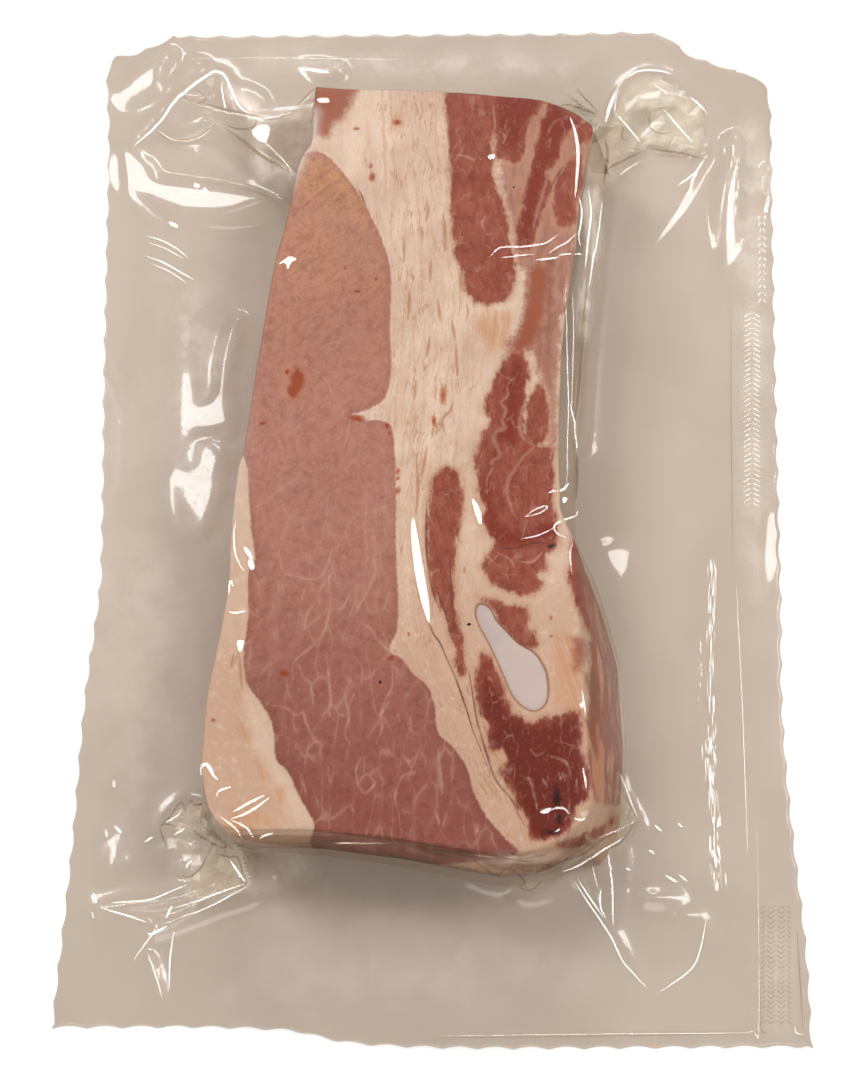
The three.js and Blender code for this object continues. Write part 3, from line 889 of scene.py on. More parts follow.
def nearest_line(paths, places, width):
    """Signed distance in half widths to the nearest of these tapered lines, and a share that fades off it."""
    signed = np.full(len(places), OFF_LINE)
    for pixels in paths:
        path = smooth_curve(on_plane(pixels, BLOCK_HEIGHT))
        chosen = near_box(path, places, LINE_REACH * width)
        distance, share = line_distance(path, places[chosen])
        distance /= width * (LINE_END + (1 - LINE_END) * np.sin(math.pi * np.clip(share, *LINE_SHARES)))
        nearer = np.abs(distance) < np.abs(signed[chosen])
        signed[chosen[nearer]] = distance[nearer]
    return np.clip(signed, -LINE_REACH, LINE_REACH), np.clip(2 - np.abs(signed) / LINE_FADE, 0, 1)


def rolling(places, size, seed):
    """Smooth noise from about -1 to 1, with hills of that size."""
    offset = Vector([seed * shift for shift in HILL_SHIFT])
    return np.array([noise.noise(Vector((x / size, y / size, 0)) + offset) for x, y in places[:, :2]])


def hills(places, rows):
    return sum(height * rolling(places, size, seed) for height, size, seed in rows)


def raised(plan, height):
    """Points over a plan, at one height or at a height for each."""
    return np.column_stack([plan, np.broadcast_to(height, len(plan))])


# The block's plan: a patch between its four edges, and the loop round it

def block_edges(columns, rows):
    pixels = {"near": NEAR_EDGE, "right": RIGHT_EDGE, "far": FAR_EDGE, "left": LEFT_EDGE}
    counts = {"near": columns + 1, "right": rows + 1, "far": columns + 1, "left": rows + 1}
    curves = {name: smooth_curve(on_plane(pixels[name], EDGE_HEIGHT)) for name in pixels}
    return {name: even_points(curves[name], counts[name]) for name in pixels}


def patch(edges):
    """A Coons patch between four edges, as rows from the near end to the far end."""
    columns, rows = len(edges["near"]) - 1, len(edges["left"]) - 1
    u = np.linspace(0, 1, columns + 1)[None, :, None]
    v = np.linspace(0, 1, rows + 1)[:, None, None]
    near, far = edges["near"][None], edges["far"][None]
    left, right = edges["left"][:, None], edges["right"][:, None]
    near_corners = (1 - u) * near[:, :1] + u * near[:, -1:]
    far_corners = (1 - u) * far[:, :1] + u * far[:, -1:]
    corners = (1 - v) * near_corners + v * far_corners
    return (1 - v) * near + v * far + (1 - u) * left + u * right - corners


def round_trip(edges):
    """The four edges as one closed loop: near, right, far and left, each without its last point."""
    sides = [edges["near"], edges["right"], edges["far"][::-1], edges["left"][::-1]]
    return np.concatenate([side[:-1] for side in sides])


def loop_edges(loop, columns, rows):
    """The four edges that a loop in the order of round_trip is made of."""
    corners = np.cumsum([0, columns, rows, columns, rows])
    wrapped = np.concatenate([loop, loop[:1]])
    near, right, far, left = (wrapped[a:b + 1] for a, b in zip(corners[:-1], corners[1:]))
    return {"near": near, "right": right, "far": far[::-1], "left": left[::-1]}


def loop_values(table, columns, rows):
    """A value for each point of round_trip, from values at shares along each edge."""
    values = []
    sides = (("near", columns, False), ("right", rows, False), ("far", columns, True), ("left", rows, True))
    for name, count, backward in sides:
        share = np.arange(count) / count
        shares, row = zip(*table[name])
        values.append(np.interp(1 - share if backward else share, shares, row))
    return np.concatenate(values)


def outward(loop):
    """Unit normals that point out of a closed loop, which runs anticlockwise."""
    tangent = np.roll(loop, -NORMAL_SPAN, axis=0) - np.roll(loop, NORMAL_SPAN, axis=0)
    normal = np.stack([tangent[:, 1], -tangent[:, 0]], axis=1)
    for _ in range(NORMAL_PASSES):
        normal = (np.roll(normal, 1, axis=0) + 2 * normal + np.roll(normal, -1, axis=0)) / 4
    return unit(normal)


def block_plan(columns, rows, foot, shoulder):
    """The top's patch, the loop round it with its normals, and how far and how squarely each wall spreads."""
    edges = block_edges(columns, rows)
    loop = round_trip(edges)
    spread = loop_values(foot, columns, rows)
    power = 2 / loop_values(shoulder, columns, rows)
    return patch(edges), loop, outward(loop), spread, power


def wall_rings(count, power):
    """For each ring down a wall: its turn, and how far out and how far up it lies as shares."""
    for ring in range(1, count + 1):
        turn = ring / count * math.pi / 2
        yield turn, math.sin(turn) ** power, max(math.cos(turn), 0) ** power


def top_height(grid):
    """Height of the block's top over its patch: crowned, with the crease at the right."""
    rows, columns = grid.shape[:2]
    flat = grid.reshape(-1, 2)
    across = np.linspace(-1, 1, columns)[None, :]
    along = np.linspace(-1, 1, rows)[:, None]
    crown = TOP_CROWN * (across ** 4 + along ** 4) / 2
    distance, share = line_distance(smooth_curve(on_plane(CREASE_PATH, BLOCK_HEIGHT)), flat)
    crease = CREASE_DEPTH * (1 - share) * np.exp(-((distance / CREASE_WIDTH) ** 2))
    return BLOCK_HEIGHT - crown.ravel() - crease + hills(flat, TOP_HILLS)


class Skin:
    """A mesh grown from a patch by adding closed rings round it."""

    def __init__(self, points, columns, rows):
        index = np.arange((columns + 1) * (rows + 1)).reshape(rows + 1, columns + 1)
        corner = index[:-1, :-1].ravel()
        self.points = [points]
        self.faces = [np.stack([corner, corner + 1, corner + columns + 2, corner + columns + 1], axis=1)]
        self.patch_faces = self.faces[0]
        self.rim = np.concatenate([index[0, :-1], index[:-1, -1], index[-1, ::-1][:-1], index[::-1, 0][:-1]])
        self.edge = self.rim
        self.count = len(points)

    def add_ring(self, plan, height):
        outer = self.count + np.arange(len(plan))
        self.faces.append(ring_faces(self.edge, outer))
        self.points.append(raised(plan, height))
        self.edge = outer
        self.count += len(plan)

    def close_with_patch(self, points):
        """Close the last ring with a patch that faces down; its rim is the last ring."""
        own = np.ones(len(points), bool)
        own[self.rim] = False
        index = np.zeros(len(points), int)
        index[own] = self.count + np.arange(own.sum())
        index[self.rim] = self.edge
        self.faces.append(index[self.patch_faces][:, ::-1])
        self.points.append(points[own])
        self.count += own.sum()
        return own


def ring_faces(inner, outer):
    """Quads between two rings of as many points."""
    return np.stack([inner, outer, np.roll(outer, -1), np.roll(inner, -1)], axis=1)


def make_mesh(name, points, faces, materials, smooth=True):
    mesh = bpy.data.meshes.new(name)
    mesh.from_pydata((np.asarray(points) * MM).tolist(), [], faces)
    mesh.polygons.foreach_set("use_smooth", [smooth] * len(mesh.polygons))
    for material in materials:
        mesh.materials.append(material)
    piece = bpy.data.objects.new(name, mesh)
    bpy.context.scene.collection.objects.link(piece)
    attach(piece, "root")
    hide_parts("pack")
    return piece


def store(piece, name, values):
    attribute = piece.data.attributes.new(name, "FLOAT", "POINT")
    attribute.data.foreach_set("value", np.asarray(values, np.float32))


# The pork

def pork_marks(places):
    """What the cut top shows at each place: how far inside each kind of tissue, line and spot it lies."""
    grain = smooth_curve(on_plane(FAT_GRAIN, BLOCK_HEIGHT))[::-1]
    marks = {
        "grain_x": places[:, 0] - np.interp(places[:, 1], grain[:, 1], grain[:, 0]),
        "grain_y": places[:, 1],
    }
    for name, outlines in AREAS.items():
        marks[name] = deepest_inside(outlines, places)
    for name, spots in SPOTS.items():
        marks[name] = deepest_spot(spots, places)
    for name, (paths, width) in LINES.items():
        marks[name], marks[name + "_near"] = nearest_line(paths, places, width)
    return marks


def make_pork(material):
    grid, loop, normals, spread, power = block_plan(PORK_COLUMNS, PORK_ROWS, PORK_FOOT, PORK_SHOULDER)
    flat = grid.reshape(-1, 2)
    top_marks = pork_marks(flat)
    groove = sum(depth * np.exp(-((top_marks[name] / width) ** 2)) for name, depth, width in GROOVES)
    sunk = BONE_RECESS * smooth_step(top_marks["bone"], *BONE_RECESS_RIM)
    height = top_height(grid) + hills(flat, PORK_HILLS) - SEAM_GROOVE * groove - sunk
    skin = Skin(raised(flat, height), PORK_COLUMNS, PORK_ROWS)
    top_edge = height[skin.rim]
    wobble = hills(loop, WALL_HILLS) * np.clip(spread / WALL_WOBBLE_SPREAD, WALL_WOBBLE_LEAST, 1)
    for turn, out, up in wall_rings(PORK_WALL_RINGS, power):
        plan = loop + normals * (spread * out + wobble * math.sin(2 * turn))[:, None]
        skin.add_ring(plan, BLOCK_BOTTOM + (top_edge - BLOCK_BOTTOM) * up)
    wall_marks = pork_marks(seen_places(np.concatenate(skin.points[1:])))
    under = patch(loop_edges(plan, PORK_COLUMNS, PORK_ROWS)).reshape(-1, 2)
    own = skin.close_with_patch(raised(under, BLOCK_BOTTOM))

    piece = make_mesh("pork", np.concatenate(skin.points), np.concatenate(skin.faces).tolist(), [material])
    for name, values in top_marks.items():
        store(piece, name, np.concatenate([values, wall_marks[name], values[own]]))


def make_bone(material):
    """The cut end of a rib: a smooth plug in its recess in the meat."""
    outline = closed_outline(on_plane(BONE, BLOCK_HEIGHT), BONE_STEPS)
    middle = outline.mean(axis=0)
    points = [np.array([[*middle, BONE_LEVEL + BONE_CROWN]])]
    for share, lift in BONE_RINGS:
        points.append(raised(middle + (outline - middle) * share, BONE_LEVEL + lift))
    count = len(outline)
    faces = [(0, 1 + i, 1 + (i + 1) % count) for i in range(count)]
    for ring in range(len(BONE_RINGS) - 1):
        inner = 1 + ring * count + np.arange(count)
        faces.extend(ring_faces(inner, inner + count).tolist())
    faces.append(list(range(len(BONE_RINGS) * count, (len(BONE_RINGS) - 1) * count, -1)))
    make_mesh("bone", np.concatenate(points), faces, [material])


# The film

def toward_lamp(place, lamp):
    """The normal with which a place mirrors a lamp into the camera."""
    lamp_place = np.array(LAMPS[lamp][0]) / MM
    return unit(unit(CAMERA_PLACE - place) + unit(lamp_place - place))


def fold_height(places):
    """Height of the highest fold at each place."""
    height = np.zeros(len(places))
    for path, width in FOLDS:
        path = np.asarray(path, float)
        plan = np.concatenate([on_plane(point[None, :2], point[2]) for point in path])
        curve = smooth_curve(raised(plan, path[:, 2]))
        chosen = near_box(curve[:, :2], places, LINE_REACH * width)
        distance, share = line_distance(curve[:, :2], places[chosen])
        crest = np.interp(share, np.linspace(0, 1, len(curve)), curve[:, 2])
        aside = np.sqrt((distance / width) ** 2 + FOLD_ROUNDING ** 2) - FOLD_ROUNDING
        height[chosen] = np.maximum(height[chosen], crest * np.exp(-aside))
    return height


def facet_height(places):
    """How far the shining patches lift the film at each place."""
    height = np.zeros(len(places))
    for lamp, pixels in FACETS:
        outline = closed_outline(on_plane(pixels, FLANGE_HEIGHT))
        middle = outline.mean(axis=0)
        normal = toward_lamp(np.array([*middle, FLANGE_HEIGHT]), lamp)
        slope = -normal[:2] / normal[2]
        chosen = near_box(outline, places, FACET_MARGIN)
        lowest = ((outline - middle) * slope).sum(axis=1).min()
        tilt = ((places[chosen] - middle) * slope).sum(axis=1) - lowest
        share = smooth_step(inside_distance(outline, places[chosen]), -FACET_MARGIN, FACET_RIM)
        height[chosen] = np.maximum(height[chosen], tilt * share)
    return height


def flange_sheet(places):
    """Height of the flat film at each place: its gentle waves, its shining patches and its bubbles."""
    height = FLANGE_HEIGHT + hills(places, FLANGE_HILLS) + facet_height(places)
    for pixel, across, along, rise in BUBBLES:
        away = (places - on_plane([pixel], FLANGE_HEIGHT + rise)[0]) / (across, along)
        height += rise * np.sqrt(np.clip(1 - away[:, 0] ** 2 - away[:, 1] ** 2, 0, None))
    return height


def pocket_loop(columns, rows):
    """The pocket's rounded outline, corner for corner with round_trip."""
    u, v = np.linspace(-1, 1, columns + 1)[:-1], np.linspace(-1, 1, rows + 1)[:-1]
    side = np.ones(rows)
    square = np.concatenate([raised(u, -1), raised(side, v), raised(-u, 1), raised(-side, -v)])
    shrink = (np.abs(square) ** POCKET_SQUARENESS).sum(axis=1) ** (-1 / POCKET_SQUARENESS)
    return square * shrink[:, None] * (POCKET_WIDTH / 2, POCKET_LENGTH / 2) + (POCKET_CENTRE_X, 0)


def scalloped(corners, count):
    """Points along a cut edge through these corners, with scallops cut into its left side."""
    line = even_points(smooth_curve(corners), count + 1)
    tangent = np.gradient(line, axis=0)
    inward = unit(np.stack([-tangent[:, 1], tangent[:, 0]], axis=1))
    scallops = np.linspace(0, 1, count + 1) * step_lengths(line).sum() / SCALLOP_PITCH
    depth = SCALLOP_DEPTH * np.abs(np.sin(math.pi * scallops))
    return (line + inward * depth[:, None])[:-1]


def flange_loop(columns, rows):
    """The flange's cut outline, corner for corner with round_trip."""
    sides = ((FLANGE_NEAR, columns), (FLANGE_RIGHT, rows), (FLANGE_FAR, columns), (FLANGE_LEFT, rows))
    return np.concatenate([scalloped(corners, count) for corners, count in sides])


def film_haze_and_painted_light(points):
    """How hazy the film is at each point: partly its real frosting, mostly painted sheen and painted light on
    shaded film.
    """
    pixels = seen_pixels(points)
    haze_and_painted_light = np.zeros(len(points))
    for strength, soft, corners in HAZE_AND_PAINTED_LIGHT:
        inside = inside_distance(closed_outline(corners), pixels, margin=soft)
        haze_and_painted_light = np.maximum(haze_and_painted_light, strength * smooth_step(inside, -soft, soft))
    return haze_and_painted_light


def make_film(formed, lid):
    """The closed bag: formed film over the block and out to the cut edge, and the lid film below."""
    grid, loop, normals, spread, power = block_plan(FILM_COLUMNS, FILM_ROWS, FILM_FOOT, FILM_SHOULDER)
    height = top_height(grid) + FILM_GAP
    skin = Skin(raised(grid.reshape(-1, 2), height), FILM_COLUMNS, FILM_ROWS)
    top_edge = height[skin.rim]
    for _, out, up in wall_rings(FILM_WALL_RINGS, power):
        foot = loop + normals * (spread * out + FILM_GAP * np.minimum(1, GAP_OPENING * out))[:, None]
        wall = FOOT_LIFT + (top_edge - FOOT_LIFT) * up
        fold = FLANGE_HEIGHT + fold_height(foot) * np.minimum(1, FOLD_OPENING * (1 - up))
        skin.add_ring(foot, np.maximum(wall, fold))

    foot_ring = skin.edge
    lowest = LID_HEIGHT + LID_CLEARANCE
    pocket = pocket_loop(FILM_COLUMNS, FILM_ROWS)
    for ring in range(1, SKIRT_RINGS + 1):
        plan = foot + (pocket - foot) * (ring / SKIRT_RINGS) ** SKIRT_SPACING
        beyond = np.linalg.norm(plan - foot, axis=1)
        fillet = (FOOT_LIFT - FLANGE_HEIGHT) * np.exp(-beyond / FOOT_FADE)
        sheet = FLANGE_HEIGHT + (flange_sheet(plan) - FLANGE_HEIGHT) * smooth_step(beyond, 0, FLANGE_FADE)
        skin.add_ring(plan, np.maximum(sheet + np.maximum(fillet, fold_height(plan)), lowest))

    edge = flange_loop(FILM_COLUMNS, FILM_ROWS)
    for ring in range(1, FLANGE_RINGS + 1):
        share = ring / FLANGE_RINGS
        plan = pocket + (edge - pocket) * share
        rise = flange_sheet(plan) + fold_height(plan) * smooth_step(1 - share, 0, EDGE_FADE)
        skin.add_ring(plan, np.maximum(rise - EDGE_DROP * share, lowest))
    skin.add_ring(edge, LID_HEIGHT)

    points = np.concatenate(skin.points)
    faces = np.concatenate(skin.faces).tolist()
    film = make_mesh("film", points, faces + [skin.edge[::-1].tolist()], [formed, lid])
    film.data.polygons[-1].material_index = 1
    film.data.polygons[-1].use_smooth = False
    # Haze, partly painted sheen and painted light, with none at the cut edge
    haze_and_painted_light = film_haze_and_painted_light(points)
    haze_and_painted_light[skin.edge] = 0
    store(film, "haze_and_painted_light", haze_and_painted_light)
    kept = np.zeros(len(points), bool)
    kept[skin.rim] = True
    kept[foot_ring] = True
    ends = np.empty(2 * len(film.data.edges), int)
    film.data.edges.foreach_get("vertices", ends)
    sharp = film.data.attributes.new("sharp_edge", "BOOLEAN", "EDGE")
    sharp.data.foreach_set("value", kept[ends].reshape(-1, 2).all(axis=1))
    return points, faces


def on_film(tree, pixel):
    """Where the camera sees a pixel on the film, and the film's normal there."""
    place, normal, _, _ = tree.ray_cast(Vector(CAMERA_PLACE), Vector(camera_ray(pixel)))
    normal = np.array(normal)
    return np.array(place), normal if normal[2] > 0 else -normal


def joined(parts):
    """The points and faces of several small meshes as one."""
    points, faces, count = [], [], 0
    for own_points, own_faces in parts:
        points.append(own_points)
        faces.extend([[i + count for i in face] for face in own_faces])
        count += len(own_points)
    return np.concatenate(points), faces


def bunch(tree, draw, cloud, cream, depth, pixels):
    """A crumpled sheet that fills an outline in the camera's view, and each point's cloudiness and cream."""
    outline = closed_outline(pixels)
    low = outline.min(axis=0) - BUNCH_STEP
    columns, rows = np.ceil((outline.max(axis=0) + BUNCH_STEP - low) / BUNCH_STEP).astype(int) + 1
    nodes = low + BUNCH_STEP * np.array([(i % columns, i // columns) for i in range(columns * rows)])
    nodes += draw.uniform(-BUNCH_STRAY, BUNCH_STRAY, nodes.shape)
    lifts = draw.uniform(0, depth, len(nodes))
    inside = inside_distance(outline, nodes)
    used = np.nonzero(inside > -BUNCH_STEP / 2)[0]
    share = smooth_step(inside[used], 0, BUNCH_FADE)
    places = np.array([on_film(tree, nodes[i])[0] for i in used])
    points = places + unit(CAMERA_PLACE - places) * (BUNCH_LIFT + lifts[used] * share)[:, None]
    index = np.full(columns * rows, -1)
    index[used] = np.arange(len(used))
    index = index.reshape(rows, columns)
    near_left, near_right = index[1:, :-1].ravel(), index[1:, 1:].ravel()
    far_left, far_right = index[:-1, :-1].ravel(), index[:-1, 1:].ravel()
    halves = ((near_left, near_right, far_right), (near_left, far_right, far_left))
    faces = np.concatenate([np.stack(half, axis=1) for half in halves])
    return points, faces[(faces >= 0).all(axis=1)].tolist(), cloud * share, np.full(len(points), cream)


def make_bunches(tree, material):
    draw = np.random.default_rng(BUNCH_SEED)
    made = [bunch(tree, draw, *row) for row in BUNCHES]
    points, faces = joined([part[:2] for part in made])
    piece = make_mesh("film_bunches", points, faces, [material], smooth=False)
    store(piece, "cloud", np.concatenate([part[2] for part in made]))
    store(piece, "cream", np.concatenate([part[3] for part in made]))
    return points, faces


def wrinkle(tree, width, pixels, shining=True):
    """Small flats along a path on the film, tapered to both ends, that mirror a lamp if it shines."""
    curve = smooth_curve(pixels)
    count = max(WRINKLE_FEWEST, int(step_lengths(curve).sum() / WRINKLE_STEP))
    hits = [on_film(tree, pixel) for pixel in even_points(curve, count + 1)]
    places = np.array([hit[0] for hit in hits])
    normals = np.array([hit[1] for hit in hits[:-1]])
    middles = (places[:-1] + places[1:]) / 2
    runs = unit(np.diff(places, axis=0))

    def slant(lamp):
        """How far the path runs from square to a lamp's mirror, and more where the block shades it."""
        middle = len(middles) // 2
        start = middles[middle] + SHADE_START * normals[middle]
        shaded = tree.ray_cast(Vector(start), Vector(np.array(LAMPS[lamp][0]) / MM - start))[0] is not None
        return np.abs((runs * toward_lamp(middles[middle], lamp)).sum(axis=1)).mean() + shaded

    facing = unit(CAMERA_PLACE - middles)
    if shining:
        lamp = min(MIRRORED_LAMPS, key=slant)
        facing = np.array([toward_lamp(place, lamp) for place in middles])
    reach = ((middles - CAMERA_PLACE) * facing).sum(axis=1)
    ends = []
    for rays in (unit(places[:-1] - CAMERA_PLACE), unit(places[1:] - CAMERA_PLACE)):
        ends.append(CAMERA_PLACE + rays * (reach / (rays * facing).sum(axis=1))[:, None])
    taper = width / 2 * np.sqrt(np.sin(math.pi * (np.arange(count) + 0.5) / count))
    across = unit(np.cross(facing, ends[1] - ends[0])) * taper[:, None]
    top = np.stack([ends[0] - across, ends[1] - across, ends[1] + across, ends[0] + across], axis=1)
    lowest = ((top - middles[:, None]) * normals[:, None]).sum(axis=2).min(axis=1)
    top += (normals * (WRINKLE_THICKNESS - lowest)[:, None])[:, None]
    bottom = top - normals[:, None] * WRINKLE_THICKNESS
    points = np.concatenate([top, bottom], axis=1).reshape(-1, 3)
    box = [(0, 1, 2, 3), (7, 6, 5, 4), (0, 4, 5, 1), (1, 5, 6, 2), (2, 6, 7, 3), (3, 7, 4, 0)]
    return points, [[8 * i + corner for corner in face] for i in range(count) for face in box]


def streak_rows():
    """Short wrinkles scattered along each ragged streak."""
    draw = np.random.default_rng(STREAK_SEED)
    rows = []
    for count, stray, pixels in STREAKS:
        line = even_points(smooth_curve(pixels), STREAK_STEPS)
        for _ in range(count):
            start = draw.integers(0, STREAK_STEPS - STREAK_ROOM)
            piece = line[start:start + draw.integers(*STREAK_LENGTHS)]
            rows.append((draw.uniform(*STREAK_WIDTHS), piece + (draw.normal(0, stray), 0)))
    return rows


def knurl_rows(bands, width):
    """Short slanted wrinkles in even rows, in a herringbone."""
    rows = []
    for left, right, first, last, pitch in bands:
        middle = (left + right) / 2
        for row in range(first, last, pitch):
            rows.append((width, [(left, row + KNURL_RISE), (middle - KNURL_GAP, row)]))
            rows.append((width, [(middle + KNURL_GAP, row), (right, row + KNURL_RISE)]))
    return rows


def glint(tree, lamp, pixels):
    """A small flat of film, tilted to a lamp, that fills an outline as the camera sees it."""
    outline = closed_outline(pixels, GLINT_STEPS)
    middle, film_normal = on_film(tree, outline.mean(axis=0))
    normal = toward_lamp(middle, lamp)
    rays = np.array([camera_ray(pixel) for pixel in outline])
    reach = ((middle - CAMERA_PLACE) * normal).sum()
    top = CAMERA_PLACE + rays * (reach / (rays * normal).sum(axis=1))[:, None]
    top += film_normal * (GLINT_LIFT - ((top - middle) * film_normal).sum(axis=1).min())
    count = len(top)
    ring = np.arange(count)
    faces = [ring[::-1].tolist(), (ring + count).tolist()]
    following = np.roll(ring, -1)
    faces.extend(np.stack([ring, following, following + count, ring + count], axis=1).tolist())
    return np.concatenate([top, top - film_normal * GLINT_THICKNESS]), faces


def make_wrinkles(tree, formed, creased_and_shaded):
    shining = [wrinkle(tree, *row) for row in WRINKLES + streak_rows() + knurl_rows(KNURLS, KNURL_WIDTH)]
    glints = [glint(tree, *row) for row in GLINTS]
    make_mesh("film_wrinkles", *joined(shining + glints), [formed], smooth=False)
    # Dull strips facing the camera: creases, knurls, and near-edge strips that are partly painted shade
    dull = [wrinkle(tree, *row, shining=False) for row in CREASES_AND_SHADE_STRIPS + knurl_rows(DULL_KNURLS, DULL_KNURL_WIDTH)]
    make_mesh("film_creases_and_shade", *joined(dull), [creased_and_shaded], smooth=False)


# Materials

# Colours of the tissue, the bone and the film
FAT_PALE = (0.69, 0.525, 0.415)
FAT_WARM = (0.59, 0.415, 0.315)
FAT_PINK = (0.61, 0.435, 0.355)
FAT_NEAR = (0.54, 0.345, 0.245)
FAT_WHITE = (0.73, 0.58, 0.47)
FAT_LINE = (0.5, 0.28, 0.165)
FAT_CRACK = (0.37, 0.15, 0.06)
PINK = (0.41, 0.175, 0.13)
PINK_TAN = (0.51, 0.26, 0.135)
PINK_MAUVE = (0.395, 0.182, 0.15)
PINK_NEAR_TINT = (0.64, 0.42, 0.42)
PINK_DEEP = (0.31, 0.112, 0.084)
PINK_SHADE = (0.25, 0.09, 0.065)
VEIN = (0.52, 0.3, 0.23)
RED = (0.25, 0.055, 0.033)
RED_SOFT = (0.305, 0.083, 0.053)
RED_DEEP = (0.175, 0.032, 0.019)
RED_NEAR = (0.125, 0.01, 0.004)
RED_CORE = (0.19, 0.022, 0.01)
RED_RIM = (0.47, 0.235, 0.13)
MIXED_PALE = (0.36, 0.155, 0.105)
MIXED_RED = (0.27, 0.085, 0.054)
ORANGE = (0.3, 0.07, 0.024)
STAIN = (0.53, 0.26, 0.13)
RUST = (0.28, 0.05, 0.013)
RUST_PALE = (0.42, 0.135, 0.06)
SEAM = (0.12, 0.032, 0.02)
CLOT = (0.02, 0.003, 0.002)
SPECK = (0.012, 0.01, 0.009)
FLANK_PALE = (0.5, 0.22, 0.125)
FLANK_BROWN = (0.27, 0.078, 0.04)
FLANK_GREY = (0.29, 0.12, 0.078)
# Brown of the flank strips, also used for painted shade on the near wall and a painted reflection by the
# right wall
STRIP_BROWN_SHADE_AND_REFLECTION = (0.24, 0.09, 0.055)
BONE_PALE = (0.53, 0.425, 0.39)
BONE_LILAC = (0.485, 0.38, 0.375)
BONE_RIM = (0.3, 0.125, 0.065)
FORMED_TINT = (0.985, 0.98, 0.965)
FORMED_DULL_TINT = (0.955, 0.945, 0.925)
FORMED_EDGE_TINT = (0.88, 0.84, 0.76)
# Warm white of the film's haze, which is partly real frosting and mostly painted sheen and painted light
FILM_HAZE_AND_PAINTED_LIGHT = (0.97, 0.86, 0.755)
# Lid film tint, partly its own colour and partly painted shade that darkens the pale floor seen through it
LID_TINT_AND_PAINTED_SHADE = (0.755, 0.688, 0.632)
# Tint of the dark creases and of the near-edge strips, which are partly painted shade
CREASE_AND_SHADE_TINT = (0.9, 0.86, 0.8)
BUNCH_TINT = (0.985, 0.975, 0.955)
BUNCH_PINK = (0.5, 0.36, 0.27)
BUNCH_CREAM = (0.92, 0.79, 0.6)

# Noise over the whole block: scale, detail and roughness, and the strength where it shifts an edge or a place
FINE_NOISE = (0.9, 3, 0.6)
RAGGED_NOISE = (0.22, 3)
RAGGED_STRENGTH = 1.2
WARP_NOISE = (0.14, 3)
WARP_STRENGTH = 9

# Edge of each mark: how far noise roughens it, the depths where it starts and is full, and its full share
EDGES = {
    "pale": (3, -2.5, 2.5, 0.42), "stain": (3, -1.8, 2.2, 1.0), "deep": (3, -2.5, 2.5, 0.9),
    "orange": (3, -2.0, 2.2, 0.9), "mixed": (4, -1.5, 2.0, 0.85), "flank": (2, -0.8, 0.8, 1.0),
    "brown_shade_and_reflection": (2, -1.0, 1.4, 0.8), "dark": (1.2, -0.2, 0.8, 1.0), "pink": (1.2, -0.4, 0.4, 1.0),
}

# Lines: how far noise roughens each, and the distances in half widths where it starts and is full
LINE_EDGES = {
    "crack": (1.5, 2.0, 0.3), "vein": (2, 2.2, 0.0), "septum": (2, 2.2, 0.1), "seam": (0.8, 1.3, 0.1),
    "long_seam": (0.8, 1.3, 0.1),
}
CRACK_SHARE = 0.66
VEIN_SHARE = 0.6
SEPTUM_SHARE = 0.34

# Noise drawn out along the grain: how far it is squeezed along, its level, scale, detail and roughness
GRAINS = {
    "pinkish": (0.08, 3.0, 0.25, 2, 0.5), "streak": (0.06, 0.0, 0.7, 3, 0.55),
    "split": (0.1, 7.0, 0.42, 4, 0.6), "thread": (0.14, 11.0, 0.7, 3, 0.6), "slant": (0.06, 0.0, 1.0, 3, 0.6),
    "fibre": (0.25, 0.0, 0.55, 4, 0.6), "strand": (0.3, 0.0, 0.45, 4, 0.65),
}

# Mottling: scale, detail and roughness of the noise, where it starts and is full, its share and the colour
FAT_BASE = [(0.06, 3, 0.5, 0.36, 0.64, 1.0, FAT_WARM)]
FAT_MOTTLES = [(0.5, 4, 0.65, 0.5, 0.75, 0.4, FAT_WARM), (0.3, 4, 0.7, 0.52, 0.72, 0.4, FAT_WHITE)]
LEAN_BASE = [(0.05, 3, 0.5, 0.45, 0.65, 0.45, PINK_MAUVE)]
LEAN_MOTTLES = [
    (1.0, 2, 0.5, 0.4, 0.75, 0.3, PINK_SHADE), (0.33, 4, 0.7, 0.45, 0.7, 0.5, PINK_SHADE),
    (0.55, 3, 0.65, 0.5, 0.75, 0.3, VEIN),
]
RED_BASE = [(0.28, 4, 0.6, 0.45, 0.75, 0.7, RED_DEEP)]
RED_MOTTLES = [(0.8, 3, 0.6, 0.52, 0.8, 0.18, RED_RIM)]
FLANK_MOTTLES = [(0.09, 2, 0.5, 0.5, 0.62, 0.6, FLANK_GREY)]

# Uneven shares: scale and detail of the noise, where it starts and is full, its rise, and the least share
NET_PATCHES = (0.13, 3, 0.42, 0.62, 0.75, 0.25)
VEIN_PATCHES = (0.25, 3, 0.35, 0.65, 0.6, 0.3)
SEAM_PATCHES = (0.12, 2, 0.36, 0.6, 0.4, 0.5)
# Unevenness of the film's haze, which is partly painted sheen and painted light
HAZE_AND_LIGHT_PATCHES = (90, 3, 0.35, 0.65, 0.7, 0.5)
CLOUD_PATCHES = (70, 2, 0.35, 0.65, 0.6, 0.4)

# Fat: half widths of the streaked band; each streak's start, full, rise in the band and least share
BEND = 0.4
FAT_BAND = (22, 11)
FAT_NEAR_END = (20, -90)
PINKISH_STEP = (0.42, 0.62, 0.7)
STREAK_STEP = (0.45, 0.7)
STREAK_SHARES = (0.35, 0.12)
SPLIT_STEP = (0.022, 0.0)
SPLIT_SHARES = (0.65, 0.12)
SPLIT_NOISE = (0.13, 3)
SPLIT_PATCHES = (0.42, 0.62)
THREAD_STEP = (0.03, 0.0)
THREAD_SHARES = (0.3, 0.22)
STAINED_STREAKS = (0.38, 0.62, 0.5)
STAIN_LEAST = 0.3

